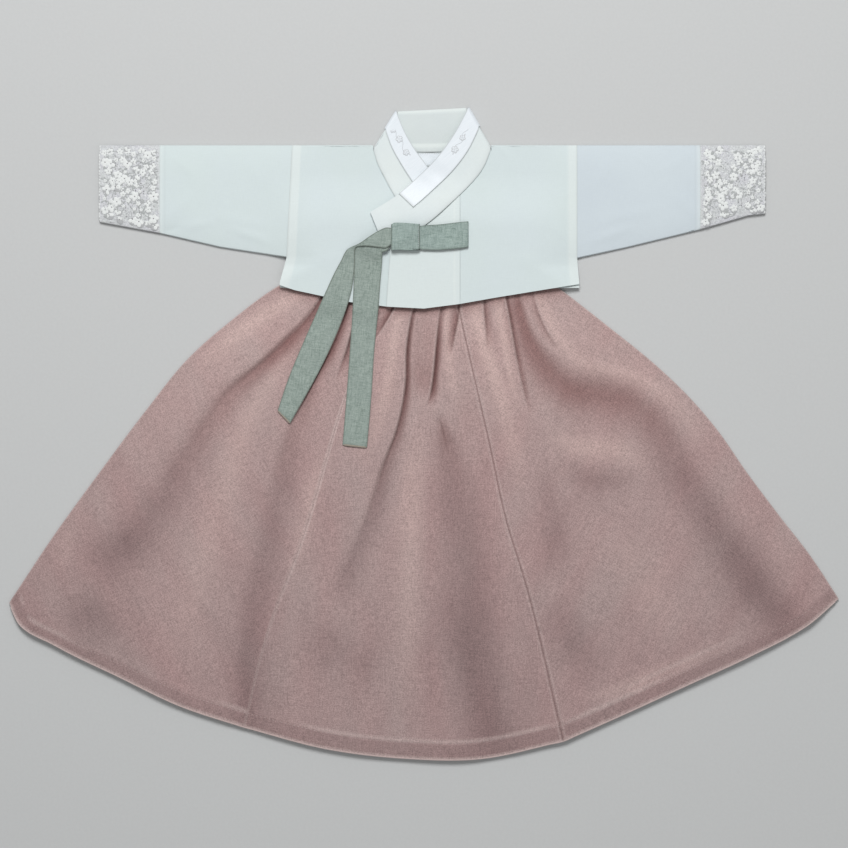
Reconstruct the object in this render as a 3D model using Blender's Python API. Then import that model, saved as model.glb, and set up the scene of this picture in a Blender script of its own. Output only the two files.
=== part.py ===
"""A baby girl's hanbok laid flat, front up: a short white jacket on a pleated pink skirt.

The frame: +X is the wearer's left, +Y runs up to the collar, +Z is away from the surface that
the clothes lie on. The origin is at the middle of the garment's length and width, on that
surface. Sizes are in millimetres, and the meshes are made in metres.

Each piece is a thin wall of cloth. Its plan comes from its cut, and its height comes from what
it lies on: the skirt's folds, then the jacket's back, its two fronts, the collar and the ribbon.
"""

import bmesh
import bpy
import numpy as np

MM = 0.001

# Cloth walls and the gaps between them
SKIRT_WALL = 1.2
JACKET_WALL = 1.4
COLLAR_WALL = 1.4
STRIP_WALL = 1.0
RIBBON_WALL = 1.2
SEAM_GAP = 0.3
LAYER_GAP = 0.6
COLLAR_GAP = 0.7

# The skirt
BAND_TOP = 223.0
BAND_BOTTOM = 182.0
BAND_HALF_WIDTH = 113.5
BAND_HEIGHT = 6.4
FOLD_HEIGHT = 3.6
SKIRT_EASE = 45.0
# Right and left side folds, from the band to the hem's tips
# x, y
RIGHT_FOLD = [(-114, 182), (-158, 160), (-206, 125), (-257, 80), (-300, 27), (-351, -41),
              (-401, -110), (-449.5, -183)]
LEFT_FOLD = [(114, 182), (146, 158), (196, 119), (256, 70), (288, 39), (318, 4), (350, -42),
             (386, -90), (420, -134), (449.5, -179)]
# The two seams that join the widths, from the band to the hem
RIGHT_SEAM = [(-34, 182), (-50, 136), (-86, 36), (-134, -121), (-167, -207), (-195, -318)]
LEFT_SEAM = [(28, 182), (44, 107), (71, -12), (89, -94), (109, -159), (151, -333)]
# The hem of each width, from right to left
RIGHT_HEM = [(-449.5, -183), (-440, -204), (-398, -230), (-329, -264), (-264, -295), (-195, -318)]
FRONT_HEM = [(-195, -318), (-102, -342), (-20, -351.7), (60, -352.2), (151, -333)]
LEFT_HEM = [(151, -333), (223, -301), (288, -271), (353, -241), (413, -209), (449.5, -179)]
# Crest height of the skirt's front down its length
# y, height
SKIRT_CRESTS = [(-354, 6.6), (-300, 7.0), (-200, 8.5), (-100, 10.5), (0, 12.0), (60, 11.5),
                (100, 9.6), (128, 7.3), (140, 7.0), (223, 7.0)]
# Pleats from the waist, then the broad folds below them: each runs through four points, as wide
# at its start and end as said, and takes its share of the cloth's height away. On its high
# side, -1 towards -X and 1 towards +X, the cloth falls into it more steeply.
# x0, y0, x1, y1, x2, y2, x3, y3, start width, end width, high side, share
PLEATS = [
    (-104, 176, -134, 160, -160, 143, -188, 120, 4.0, 8.0, 0, 0.60),
    (-86, 176, -128, 127, -160, 95, -204, 56, 6.0, 14.0, -1, 0.75),
    (-66, 176, -84, 127, -101, 90, -115, 63, 4.0, 7.0, -1, 0.65),
    (-54, 176, -72, 127, -84, 88, -99, 61, 5.0, 8.0, -1, 0.70),
    (-22, 176, -32, 138, -44, 118, -56, 101, 4.5, 7.0, 1, 0.65),
    (-3, 176, -17, 100, -18, 60, -32, 2, 6.5, 11.0, -1, 0.80),
    (22, 176, 18, 120, 11, 77, 8, 36, 6.0, 9.0, -1, 0.80),
    (42, 176, 38, 130, 34, 107, 30, 86, 5.0, 6.0, 1, 0.65),
    (63, 176, 66, 134, 68, 114, 68, 95, 5.0, 6.0, -1, 0.60),
    (84, 176, 95, 112, 104, 69, 116, 17, 6.0, 11.0, -1, 0.75),
    (103, 176, 119, 128, 131, 103, 158, 77, 6.0, 12.0, 1, 0.65),
]
BROAD_FOLDS = [
    (-180, 88, -226, 9, -277, -69, -344, -135, 12.0, 24.0, 0, 0.50),
    (-26, 28, -41, -31, -58, -90, -74, -153, 10.0, 16.0, 0, 0.45),
    (-146, 15, -170, -75, -191, -166, -196, -480, 12.0, 22.0, 0, 0.40),
    (18, 15, 37, -45, 53, -126, 78, -480, 10.0, 24.0, 0, 0.40),
    (96, 114, 149, 44, 243, 10, 295, -77, 14.0, 24.0, 0, 0.50),
    (269, -20, 306, -99, 342, -148, 377, -200, 18.0, 24.0, 0, 0.45),
    (150, -44, 180, -56, 204, -68, 235, -84, 14.0, 16.0, 0, 0.35),
    (123, -31, 134, -72, 144, -121, 149, -180, 12.0, 18.0, 0, 0.35),
    (-97, -153, -110, -197, -104, -240, -89, -480, 18.0, 26.0, 0, 0.30),
]
# The steep side's share of a pleat's width, and the shares of a fold's length over which it
# fades out, and a broad fold fades in
STEEP = 0.55
FADE_OUT = 0.35
FADE_IN = 0.3
# Shares of the way from the band to the hem where the skirt's rows lie
SKIRT_ROWS = [0, 0.025, 0.05, 0.075, 0.1, 0.13, 0.16, 0.195, 0.235, 0.28, 0.33, 0.385, 0.44,
              0.5, 0.56, 0.62, 0.68, 0.74, 0.8, 0.86, 0.91, 0.96, 1]

# The jacket
SUPPORT = 7.3
SUPPORT_FADE = 60.0
CENTRE = 9.0
SHOULDER = 312.5
UNDERARM = 190.0
FRONT_EASE = 2.2
SLEEVE_FADE = 45.0
BODY_RIGHT = -145.0
BODY_LEFT = 166.0
NECK_RIGHT = -55.0
NECK_LEFT = 73.0
NECK_GAP = 0.8
SEOP_SEAM = 39.0
UNDERLAP = 34.0
UNDERLAP_TOP = 196.0
UNDERLAP_CLEAR = 6.0
UNDERLAP_FADE = 40.0
BACK_DROP = 1.5
# Side lines, from the shoulder down the armhole and the side to the hem
# y, x
RIGHT_SIDE = [(163, -156), (190, -149), (312.5, -143)]
LEFT_SIDE = [(162, 168), (190, 166), (312.5, 166)]
# Jacket hem
# x, y
JACKET_HEM = [(-156, 163), (-134, 155), (-78, 142), (-39, 137), (0, 135), (39, 140), (78, 147),
              (126, 155), (168, 162)]
# Sleeve lines, from the armhole to the cuff's end: where each lies, and its lower edge
# x, y
RIGHT_SLEEVE = [(-351, 229), (-286, 217), (-221, 202), (-149, 191)]
LEFT_SLEEVE = [(166, 190), (221, 202), (299, 221), (351, 236), (369, 238)]
RIGHT_CUFF = -286.0
LEFT_CUFF = 299.0
RIGHT_END = -351.0
LEFT_END = 369.0
CUFF_WALL = 1.8
# The overlap panel's free edge
# y, x
SEOP_EDGE = [(138, -41), (166, -39), (206, -36)]
# Columns of each half of the body: how many lie between its side and the neck, and the x of
# the others from there to its free edge
RIGHT_OUTER = 8
RIGHT_INNER = [-48, -43, -38, -32, -26, -18, -9, 0, 8.85, 17, 25, 34]
LEFT_OUTER = 9
LEFT_INNER = [67, 61, 54, 47, 39.15, 29, 19, 9.15]
# How many columns reach the back's middle seam, and each front's edge or seam
RIGHT_BACK, RIGHT_FRONT = 17, 20
LEFT_BACK, LEFT_FRONT = 17, 14
# Shares of the way down the body's front and back, and across a sleeve's upper and under side
FRONT_ROWS = [0, 0.04, 0.11, 0.19, 0.28, 0.37, 0.46, 0.55, 0.64, 0.73, 0.805, 0.9, 1]
BACK_ROWS = [0, 0.04, 0.15, 0.27, 0.4, 0.53, 0.67, 0.805, 0.9, 1]
SLEEVE_OVER = [0, 0.045, 0.12, 0.21, 0.31, 0.42, 0.53, 0.64, 0.75, 0.86, 0.955, 1]
SLEEVE_UNDER = [0, 0.045, 0.2, 0.4, 0.6, 0.8, 0.955, 1]

# The collar, as pairs of points on its neck edge and its outer edge
# neck x, neck y, outer x, outer y
UNDER_COLLAR = [
    (15, 273, -19, 241),
    (4, 289, -31, 256),
    (-10, 308, -43, 278),
    (-20, 325, -50, 292),
    (-30, 349, -55, 309),
]
BACK_COLLAR = [
    (-30, 349, -55, 309),
    (-10, 350, -23, 303),
    (9, 351, 9, 301),
    (28, 352, 42, 304),
    (48, 353, 73, 310),
]
OVER_COLLAR = [
    (48, 353, 73, 310),
    (33, 325, 64, 288),
    (16, 301, 51, 271),
    (-5, 279, 32, 252),
    (-27, 259, 5, 228),
    (-58, 239, -41, 197),
]
# Shares of the collar's width, the first three under the satin strip, and of its length
COLLAR_SHARES = [0, 0.24, 0.48, 0.74, 1]
STRIP_COLUMNS = 3
STRIP_END = 0.767
UNDER_LIFT = 1.6
COLLAR_LAP = 8.0
COLLAR_HALF = 20.0
COLLAR_FADE = 16.0

# Rows down each stretch of collar, as shares of its length
UNDER_ROWS = np.linspace(0, 0.96, 11)
NECK_ROWS = np.linspace(0.045, 0.955, 7)
OVER_ROWS = [*np.linspace(0.03, STRIP_END, 11), 0.83, 0.89, 0.95, 1]
ROWS_PAST_STRIP = 4
# The neck label's corners
LABEL = (-6.0, 286.5, 28.0, 300.5)

# The ribbon. It steps down off the left front's edge, then off the jacket's hem onto the
# skirt, whose pleats it bridges.
STEP_X = -54.0
STEP_WIDTH = 13.0
HEM_CLEAR = 4.0
HEM_DROP = 26.0
BRIDGE = 6.0
KNOT = (-35.5, 197.5, -4.5, 227.0)
KNOT_HEIGHT = 7.3
KNOT_GAP = 0.5
LOOP_HEIGHT = 4.0
# Loop, from inside the knot to its folded end
# x, lower y, upper y
LOOP = [(-16, 203.0, 221.5), (-4, 201.0, 222.5), (4, 198.5, 224.5), (17, 198, 225.5),
        (38, 199.5, 229), (50.5, 201, 230.5)]
# Tails, from inside the knot round the turn and down; lift is the height over what they lie on
# outer x, outer y, inner x, inner y, lift
SHORT_TAIL = [
    (-22, 221, -22, 204, 3.4),
    (-35, 221.5, -35, 203.5, 3.4),
    (-40, 222, -40, 200.5, 3.3),
    (-49, 218.5, -47, 200.5, 3.2),
    (-58, 213, -56, 201.5, 3.0),
    (-69, 205.5, -66, 202, 2.8),
    (-83, 198.5, -75.8, 199, 1.8),
    (-90, 186, -75.8, 184, 0.5),
    (-96, 175, -76.8, 168, 0.4),
    (-108, 149, -82, 141, 0.4),
    (-121, 120, -94, 109, 0.4),
    (-134, 90, -107, 80, 0.4),
    (-147, 58, -122, 51, 0.4),
    (-158, 25, -139, 18, 0.4),
]
LONG_TAIL = [
    (-22, 220, -22, 205, 1.8),
    (-35, 219, -35, 204.5, 1.8),
    (-42, 216.5, -39, 198, 1.7),
    (-51, 212.5, -43, 196, 1.4),
    (-61, 207, -44.5, 195.5, 1.0),
    (-72, 200, -45, 194, 0.6),
    (-74.6, 186, -45.5, 182, 0.5),
    (-75.8, 168, -47, 166, 0.4),
    (-77, 138, -49, 138, 0.4),
    (-80, 92, -53.5, 92, 0.4),
    (-84, 37, -57, 37, 0.4),
    (-88, -12, -61.5, -15, 0.4),
]

# Linear colours with alpha, and roughness
WHITE_CLOTH = ((0.78, 0.81, 0.80, 1), 0.75)
WHITE_SATIN = ((0.88, 0.90, 0.92, 1), 0.35)
LACE_CLOTH = ((0.62, 0.62, 0.64, 1), 0.8)
PINK_CLOTH = ((0.46, 0.31, 0.29, 1), 0.7)
SAGE_CLOTH = ((0.33, 0.40, 0.35, 1), 0.85)


def ease(value):
    """A smooth step from 0 to 1."""
    value = np.clip(value, 0.0, 1.0)
    return value * value * (3.0 - 2.0 * value)


def spline(points, shares):
    """Points of a smooth curve through the given ones, at shares of its length."""
    knots = np.array(points, float)
    steps = np.linalg.norm(np.diff(knots[:, :2], axis=0), axis=1)
    at = np.concatenate([[0.0], np.cumsum(steps)])
    slopes = np.gradient(knots, at, axis=0)
    along = np.clip(np.asarray(shares, float), 0, 1) * at[-1]
    span = np.clip(np.searchsorted(at, along) - 1, 0, len(at) - 2)
    width = (at[span + 1] - at[span])[:, None]
    t = (along[:, None] - at[span][:, None]) / width
    start, end = knots[span], knots[span + 1]
    return (
        start * (1 + 2 * t) * (1 - t) ** 2
        + end * t * t * (3 - 2 * t)
        + slopes[span] * width * t * (1 - t) ** 2
        - slopes[span + 1] * width * t * t * (1 - t)
    )


def distance_along(plan, path):
    """Each plan point's distance from a path, how far along it, as a share, and its side.

    The side is -1 or 1: going down a path, 1 is towards +X.
    """
    best = np.full(plan.shape[:-1], np.inf)
    share = np.zeros(plan.shape[:-1])
    side = np.ones(plan.shape[:-1])
    count = len(path) - 1
    for index in range(count):
        start = path[index]
        run = path[index + 1] - start
        offset = plan - start
        t = np.clip((offset @ run) / (run @ run), 0, 1)
        distance = np.linalg.norm(offset - t[..., None] * run, axis=-1)
        turn = np.sign(run[0] * offset[..., 1] - run[1] * offset[..., 0])
        nearer = distance < best
        best = np.where(nearer, distance, best)
        share = np.where(nearer, (index + t) / count, share)
        side = np.where(nearer, turn, side)
    return best, share, side


# Heights of what each piece lies on


def skirt_top(plan):
    """The outside of the skirt's front: crests, less the pleats and the broad folds."""
    edge = np.full(plan.shape[:-1], np.inf)
    for fold in (RIGHT_FOLD, LEFT_FOLD):
        edge = np.minimum(edge, distance_along(plan, np.array(fold, float))[0])
    y_values, crests = np.array(SKIRT_CRESTS).T
    rise = np.interp(plan[..., 1], y_values, crests) - FOLD_HEIGHT
    rise = rise * ease(edge / SKIRT_EASE)
    for row in PLEATS + BROAD_FOLDS:
        start_width, end_width, high_side, share = row[8:]
        path = spline(np.reshape(row[:8], (4, 2)), np.linspace(0, 1, 13))
        distance, along, side = distance_along(plan, path)
        width = start_width + (end_width - start_width) * along
        width = np.where(side * high_side > 0, width * STEEP, width)
        fade = ease((1 - along) / FADE_OUT)
        if row in BROAD_FOLDS:
            fade = fade * ease(along / FADE_IN)
        rise = rise * (1 - share * fade * np.exp(-((distance / width) ** 2)))
    return FOLD_HEIGHT + rise


def support(plan):
    """What the jacket's back lies on: the skirt under it, falling to the surface around it."""
    x, y = plan[..., 0], plan[..., 1]
    right_x, right_y = np.array(RIGHT_FOLD, float).T
    left_x, left_y = np.array(LEFT_FOLD, float).T
    right = np.interp(-y, -right_y, right_x)
    left = np.interp(-y, -left_y, left_x)
    beside = np.maximum(np.maximum(right - x, x - left), 0)
    above = np.maximum(y - BAND_TOP, 0)
    return SUPPORT * (1 - ease(beside / SUPPORT_FADE)) * (1 - ease(above / SUPPORT_FADE))


def back_top(plan):
    return support(plan) + JACKET_WALL


def ease_of_front(plan):
    """How far the front stands off the back: most along the middle of the sleeves."""
    x, y = plan[..., 0], plan[..., 1]
    lower = np.where(x < CENTRE, np.interp(x, *np.array(RIGHT_SLEEVE).T),
                     np.interp(x, *np.array(LEFT_SLEEVE).T))
    height = np.clip((y - lower) / (SHOULDER - lower), 0, 1)
    across = 1 - (2 * height - 1) ** 4
    inside = np.minimum(x - BODY_RIGHT, BODY_LEFT - x)
    return LAYER_GAP + FRONT_EASE * across * (1 - ease(inside / SLEEVE_FADE))


def under_top(plan):
    """The outside of the jacket's front where it is one layer thick."""
    return back_top(plan) + ease_of_front(plan) + JACKET_WALL


def over_top(plan):
    """The outside of the left front, which crosses over the right one."""
    crossing = 1 - ease((plan[..., 0] - UNDERLAP - UNDERLAP_CLEAR) / UNDERLAP_FADE)
    return under_top(plan) + crossing * (LAYER_GAP + JACKET_WALL)


def collar_line(rows):
    """The middle of a stretch of collar."""
    rows = np.array(rows, float)
    return (rows[:, :2] + rows[:, 2:4]) / 2


def collar_cover(plan, rows):
    """1 over a stretch of collar, fading to 0 beside it."""
    distance = distance_along(plan, collar_line(rows))[0]
    return 1 - ease((distance - COLLAR_HALF) / COLLAR_FADE)


def over_collar_base(plan):
    """What the upper collar lies on: the left front, and the under collar near the crossing."""
    return over_top(plan) + COLLAR_GAP + UNDER_LIFT * collar_cover(plan, UNDER_COLLAR)


def ribbon_base(plan):
    """What the ribbon lies on: collar, jacket, and below the jacket's hem the skirt."""
    x, y = plan[..., 0], plan[..., 1]
    over = ease((x - STEP_X) / STEP_WIDTH)
    cover = collar_cover(plan, OVER_COLLAR)
    jacket = under_top(plan) * (1 - over) + over_top(plan) * over
    beside = (LAYER_GAP + JACKET_WALL) * (1 - over)
    under = UNDER_LIFT * collar_cover(plan, UNDER_COLLAR)
    jacket = jacket + cover * (COLLAR_WALL + COLLAR_GAP + beside + under)
    hem = np.interp(x, *np.array(JACKET_HEM).T)
    above = 1 - ease((hem - HEM_CLEAR - y) / HEM_DROP)
    skirt = np.maximum.reduce([
        skirt_top(plan + np.array(step, float) * BRIDGE)
        for step in ((0, 0), (1, 0), (-1, 0), (0, 1), (0, -1))
    ])
    return skirt * (1 - above) + np.maximum(jacket, skirt) * above


# Walls of cloth


def new_cloth(name, outer, inner, colour, present=None, ring=False):
    """A closed wall between two grids of points. A ring joins its last column to its first."""
    rows, columns = outer.shape[:2]
    cells = columns if ring else columns - 1
    if present is None:
        present = np.ones((rows - 1, cells), bool)
    mesh = bmesh.new()
    made = {}

    def vertex(side, row, column):
        key = (side, row, column % columns)
        if key not in made:
            grid = inner if side else outer
            made[key] = mesh.verts.new(grid[row, column % columns] * MM)
        return made[key]

    def has(row, column):
        if ring:
            column %= cells
        return 0 <= row < rows - 1 and 0 <= column < cells and present[row, column]

    for row in range(rows - 1):
        for column in range(cells):
            if not present[row, column]:
                continue
            corners = [(row, column), (row + 1, column), (row + 1, column + 1), (row, column + 1)]
            mesh.faces.new([vertex(0, *corner) for corner in corners])
            mesh.faces.new([vertex(1, *corners[k]) for k in (0, 3, 2, 1)])
            beside = [(row, column - 1), (row + 1, column), (row, column + 1), (row - 1, column)]
            for edge, neighbour in enumerate(beside):
                if not has(*neighbour):
                    first, second = corners[edge], corners[(edge + 1) % 4]
                    mesh.faces.new([vertex(0, *second), vertex(0, *first),
                                    vertex(1, *first), vertex(1, *second)])
    bmesh.ops.recalc_face_normals(mesh, faces=mesh.faces)
    data = bpy.data.meshes.new(name)
    mesh.to_mesh(data)
    mesh.free()
    data.shade_smooth()
    data.set_sharp_from_angle(angle=0.9)
    data.materials.append(cloth_material(name, *colour))
    piece = bpy.data.objects.new(name, data)
    bpy.context.scene.collection.objects.link(piece)
    return piece


def cloth_material(name, colour, roughness):
    material = bpy.data.materials.new(name)
    material.use_nodes = True
    shader = material.node_tree.nodes["Principled BSDF"]
    shader.inputs["Base Color"].default_value = colour
    shader.inputs["Roughness"].default_value = roughness
    shader.inputs["Metallic"].default_value = 0.0
    return material


def raised(plan, height):
    """Plan points with their heights."""
    return np.concatenate([plan, height[..., None]], axis=-1)


def sheet(plan, top, wall):
    """Outer and inner grids of one layer, whose outer side is at the given height."""
    return raised(plan, top), raised(plan, top - wall)


def nose(tip, inward, low, high, wall, steps):
    """Outer and inner points round a fold, from its lower side up to its upper side."""
    angles = np.radians(np.linspace(-90, 90, steps + 1))
    radius = ((high - low) / 2)[:, None]
    middle = ((high + low) / 2)[:, None]
    grids = []
    for size in (radius, radius - wall):
        reach = radius - size * np.cos(angles)
        plan = tip[:, None] + inward[:, None] * reach[..., None]
        grids.append(raised(plan, middle + size * np.sin(angles)))
    return grids


def towards(start, end):
    run = end - start
    return run / np.linalg.norm(run, axis=-1, keepdims=True)


def folded(low_plan, high_plan, bottom, top, wall, steps=4):
    """Outer and inner grids of cloth folded at the start of its rows: under side, fold, top."""
    tip = low_plan[:, 0]
    inward = towards(tip, high_plan[:, 1])
    near = tip + inward * 2.0
    turn = nose(tip, inward, bottom(near), top(near), wall, steps)
    low = low_plan[:, :0:-1]
    high = high_plan[:, 1:]
    outer = [raised(low, bottom(low)), turn[0], raised(high, top(high))]
    inner = [raised(low, bottom(low) + wall), turn[1], raised(high, top(high) - wall)]
    return np.concatenate(outer, axis=1), np.concatenate(inner, axis=1)


def tube(low_plan, high_plan, bottom, top, wall, steps=4):
    """Outer and inner rings of a flattened tube, whose rows run from one fold to the other."""
    parts = []
    for tip, ahead in ((0, 1), (-1, -2)):
        inward = towards(high_plan[:, tip], high_plan[:, ahead])
        near = high_plan[:, tip] + inward * 2.0
        parts.append(nose(high_plan[:, tip], inward, bottom(near), top(near), wall, steps))
    first, last = parts
    low = low_plan[:, -2:0:-1]
    high = high_plan[:, 1:-1]
    outer = [raised(low, bottom(low)), first[0], raised(high, top(high)), last[0][:, ::-1]]
    inner = [raised(low, bottom(low) + wall), first[1], raised(high, top(high) - wall),
             last[1][:, ::-1]]
    return np.concatenate(outer, axis=1), np.concatenate(inner, axis=1)


def thickened(middle, wall):
    """Outer and inner grids at half a wall on either side of a curved middle surface."""
    along = np.gradient(middle, axis=0)
    across = np.gradient(middle, axis=1)
    normal = np.cross(along, across)
    normal /= np.linalg.norm(normal, axis=-1, keepdims=True)
    return middle + normal * wall / 2, middle - normal * wall / 2


# Plans of the skirt's widths


def patch(top, hem, right, left, rows, columns):
    """Plan points of a panel inside its four edges: rows go down it, columns across."""
    v = np.array(rows, float)
    u = np.array(columns, float)
    head = spline(top, u)
    foot = spline(hem, u)
    first = spline(right, v)
    last = spline(left, v)
    u = u[None, :, None]
    v = v[:, None, None]
    corners = (
        (1 - u) * (1 - v) * head[0]
        + u * (1 - v) * head[-1]
        + (1 - u) * v * foot[0]
        + u * v * foot[-1]
    )
    return (1 - v) * head + v * foot + (1 - u) * first[:, None] + u * last[:, None] - corners


def shifted(points, step):
    return [(x + step, y) for x, y in points]


def skirt_side(fold, seam, hem, side, columns):
    """Plan rows of a side width, from its fold to its seam. Side is 1 for the left."""
    seam = shifted(seam, side * SEAM_GAP / 2)
    hem = list(hem) if side < 0 else hem[::-1]
    hem[-1] = seam[-1]
    return patch([fold[0], seam[0]], hem, fold, seam, SKIRT_ROWS, columns)


def skirt_front(columns):
    right = shifted(RIGHT_SEAM, SEAM_GAP / 2)
    left = shifted(LEFT_SEAM, -SEAM_GAP / 2)
    hem = [right[-1], *FRONT_HEM[1:-1], left[-1]]
    return patch([right[0], left[0]], hem, right, left, SKIRT_ROWS, columns)


def floor(plan):
    return np.zeros(plan.shape[:-1])


def make_skirt():
    plan = skirt_front(np.linspace(0, 1, 21))
    new_cloth("chima_front", *sheet(plan, skirt_top(plan), SKIRT_WALL), PINK_CLOTH)
    plan = skirt_front(np.linspace(0, 1, 7))
    new_cloth("chima_back", *sheet(plan, floor(plan) + SKIRT_WALL, SKIRT_WALL), PINK_CLOTH)
    widths = (
        ("chima_side_right", RIGHT_FOLD, RIGHT_SEAM, RIGHT_HEM, -1),
        ("chima_side_left", LEFT_FOLD, LEFT_SEAM, LEFT_HEM, 1),
    )
    for name, fold, seam, hem, side in widths:
        low = skirt_side(fold, seam, hem, side, [0, 0.06, 0.28, 0.52, 0.76, 1])
        high = skirt_side(fold, seam, hem, side, np.concatenate([[0], np.linspace(0.05, 1, 19)]))
        new_cloth(name, *folded(low, high, floor, skirt_top, SKIRT_WALL), PINK_CLOTH)
    make_band()


def make_band():
    y_values = np.array([BAND_BOTTOM + SEAM_GAP, (BAND_BOTTOM + BAND_TOP) / 2, BAND_TOP])
    x_values = np.linspace(-BAND_HALF_WIDTH, BAND_HALF_WIDTH, 8)
    plan = np.stack(np.meshgrid(x_values, y_values), axis=-1)

    def top(points):
        return floor(points) + BAND_HEIGHT

    rings = tube(plan, plan, floor, top, JACKET_WALL)
    new_cloth("chima_waistband", *rings, PINK_CLOTH, ring=True)


# The jacket


def side_x(table, y):
    y_values, x_values = np.array(table, float).T
    return np.interp(y, y_values, x_values)


def column_x(side_line, neck, outer, inner, y):
    """X of the body's columns: some between the side line and the neck, the rest straight."""
    share = np.linspace(0, 1, outer + 1)[:, None]
    side = side_x(side_line, y[: outer + 1])
    return np.concatenate([
        side + (neck - side) * share,
        np.repeat(np.array(inner, float)[:, None], y.shape[1], axis=1),
    ])


def body_plan(side_line, neck, outer, inner, neck_line, drop, shares):
    """Plan points of half the body's columns, from the shoulder or the neck down to the hem."""
    def x_at(height):
        return column_x(side_line, neck, outer, inner, np.full((outer + 1 + len(inner), 1), height))

    feet = np.interp(x_at(UNDERARM)[:, 0], *np.array(JACKET_HEM, float).T) - drop
    shares = np.array(shares, float)
    rows = np.repeat(shares[None], len(feet), axis=0)
    rows[outer + 1:] = np.clip((shares - shares[1]) / (1 - shares[1]), 0, 1)
    tops = np.full(len(feet), SHOULDER)
    tops[outer + 1:] = neck_line(x_at(SHOULDER)[outer + 1:, 0])
    y = tops[:, None] + (feet - tops)[:, None] * rows
    return np.stack([column_x(side_line, neck, outer, inner, y), y], axis=-1)


def make_half(name, side_line, neck, outer, inner, neck_line, top, back_to, front_to):
    """Half the body in one over the shoulder: its back and its front, open at the neck."""
    high = body_plan(side_line, neck, outer, inner, neck_line, 0, FRONT_ROWS)
    low = body_plan(side_line, neck, outer, inner, back_neck, BACK_DROP, BACK_ROWS)
    grids = folded(low, high, support, top, JACKET_WALL)
    columns = grids[0].shape[1]
    under = len(BACK_ROWS) - 2
    over = columns - len(FRONT_ROWS) + 1
    present = np.ones((len(high) - 1, columns - 1), bool)
    present[outer:, under:over] = False
    present[back_to:, :under] = False
    present[front_to:, over:] = False
    new_cloth(name, *grids, WHITE_CLOTH, present)


def back_neck(x):
    rows = np.array(BACK_COLLAR, float)
    return np.interp(x, rows[:, 2], rows[:, 3]) - NECK_GAP


def under_neck(x):
    """Where the right front ends, under the collar and on under the left front."""
    rows = np.array(UNDER_COLLAR[::-1], float)
    x_values = np.append(rows[:, 2], UNDERLAP)
    return np.interp(x - COLLAR_LAP, x_values, np.append(rows[:, 3], UNDERLAP_TOP))


def over_neck(x):
    """Where the left front ends, under the collar."""
    rows = np.array(OVER_COLLAR[::-1], float)
    return np.interp(x + COLLAR_LAP, rows[:, 2], rows[:, 3]) - SEAM_GAP


def make_jacket_body():
    make_half("jeogori_right", RIGHT_SIDE, NECK_RIGHT, RIGHT_OUTER, RIGHT_INNER, under_neck,
              under_top, RIGHT_BACK, RIGHT_FRONT)
    make_half("jeogori_left", LEFT_SIDE, NECK_LEFT, LEFT_OUTER, LEFT_INNER, over_neck,
              over_top, LEFT_BACK, LEFT_FRONT)
    make_seop()


def make_seop():
    """The overlap panel, from the collar to the hem, outside the left front's seam."""
    seam = SEOP_SEAM - SEAM_GAP / 2
    share = np.linspace(0, 1, 9)[:, None]
    edge_x = np.array(SEOP_EDGE, float)[:, 1]
    at_hem = edge_x[0] + (seam - edge_x[0]) * share
    at_top = edge_x[-1] + (seam - edge_x[-1]) * share
    foot = np.interp(at_hem, *np.array(JACKET_HEM, float).T)
    head = over_neck(at_top)
    y = head + (foot - head) * np.linspace(0, 1, 10)
    edge = side_x(SEOP_EDGE, y)
    plan = np.stack([edge + (seam - edge) * share, y], axis=-1)
    new_cloth("jeogori_seop", *sheet(plan, over_top(plan), JACKET_WALL), WHITE_CLOTH)


def sleeve_plan(sleeve, start, end, stations, shares):
    """Plan rows across a sleeve, from the shoulder fold to its lower fold."""
    reach = np.linspace(0, 1, stations + 1)[:, None]
    shares = np.array(shares, float)
    line = start(np.full((1, 1), UNDERARM)) * (1 - reach) + end * reach
    lower = np.interp(line, *np.array(sleeve, float).T)
    y = SHOULDER + (lower - SHOULDER) * shares
    x = start(y) * (1 - reach) + end * reach
    return np.stack([x, y], axis=-1)


def cuff_top(plan):
    return under_top(plan) + 2 * (CUFF_WALL - JACKET_WALL)


def make_sleeves():
    sides = (
        ("right", RIGHT_SLEEVE, RIGHT_SIDE, RIGHT_CUFF, RIGHT_END, -1),
        ("left", LEFT_SLEEVE, LEFT_SIDE, LEFT_CUFF, LEFT_END, 1),
    )
    for side, sleeve, side_line, cuff, end, sign in sides:
        def armhole(y, line=side_line, step=sign * SEAM_GAP):
            return side_x(line, y) + step

        def seam(y, at=cuff + sign * SEAM_GAP):
            return np.full(np.shape(y), float(at))

        low = sleeve_plan(sleeve, armhole, cuff, 9, SLEEVE_UNDER)
        high = sleeve_plan(sleeve, armhole, cuff, 9, SLEEVE_OVER)
        rings = tube(low, high, support, under_top, JACKET_WALL)
        new_cloth(f"jeogori_sleeve_{side}", *rings, WHITE_CLOTH, ring=True)
        low = sleeve_plan(sleeve, seam, end, 3, SLEEVE_UNDER)
        high = sleeve_plan(sleeve, seam, end, 3, SLEEVE_OVER)
        rings = tube(low, high, support, cuff_top, CUFF_WALL)
        new_cloth(f"jeogori_cuff_{side}", *rings, LACE_CLOTH, ring=True)


# The collar


def collar_rows(rows, shares):
    """Points across a stretch of collar, from its neck edge to its outer edge."""
    ends = spline(rows, shares)
    across = np.array(COLLAR_SHARES, float)[:, None]
    return ends[:, None, :2] * (1 - across) + ends[:, None, 2:4] * across


def collar_turn(fold, outward, upper, lower):
    """Middle points round a fold of the collar, from its upper layer to its lower one."""
    radius = (upper - lower) / 2
    middle = (upper + lower) / 2
    turn = []
    for angle in np.radians([65, 22, -22, -65]):
        reach = radius * np.cos(angle) - radius - COLLAR_WALL / 2
        plan = fold + np.array(outward) * reach[:, None]
        turn.append(raised(plan, middle + radius * np.sin(angle)))
    return np.array(turn)


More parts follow.
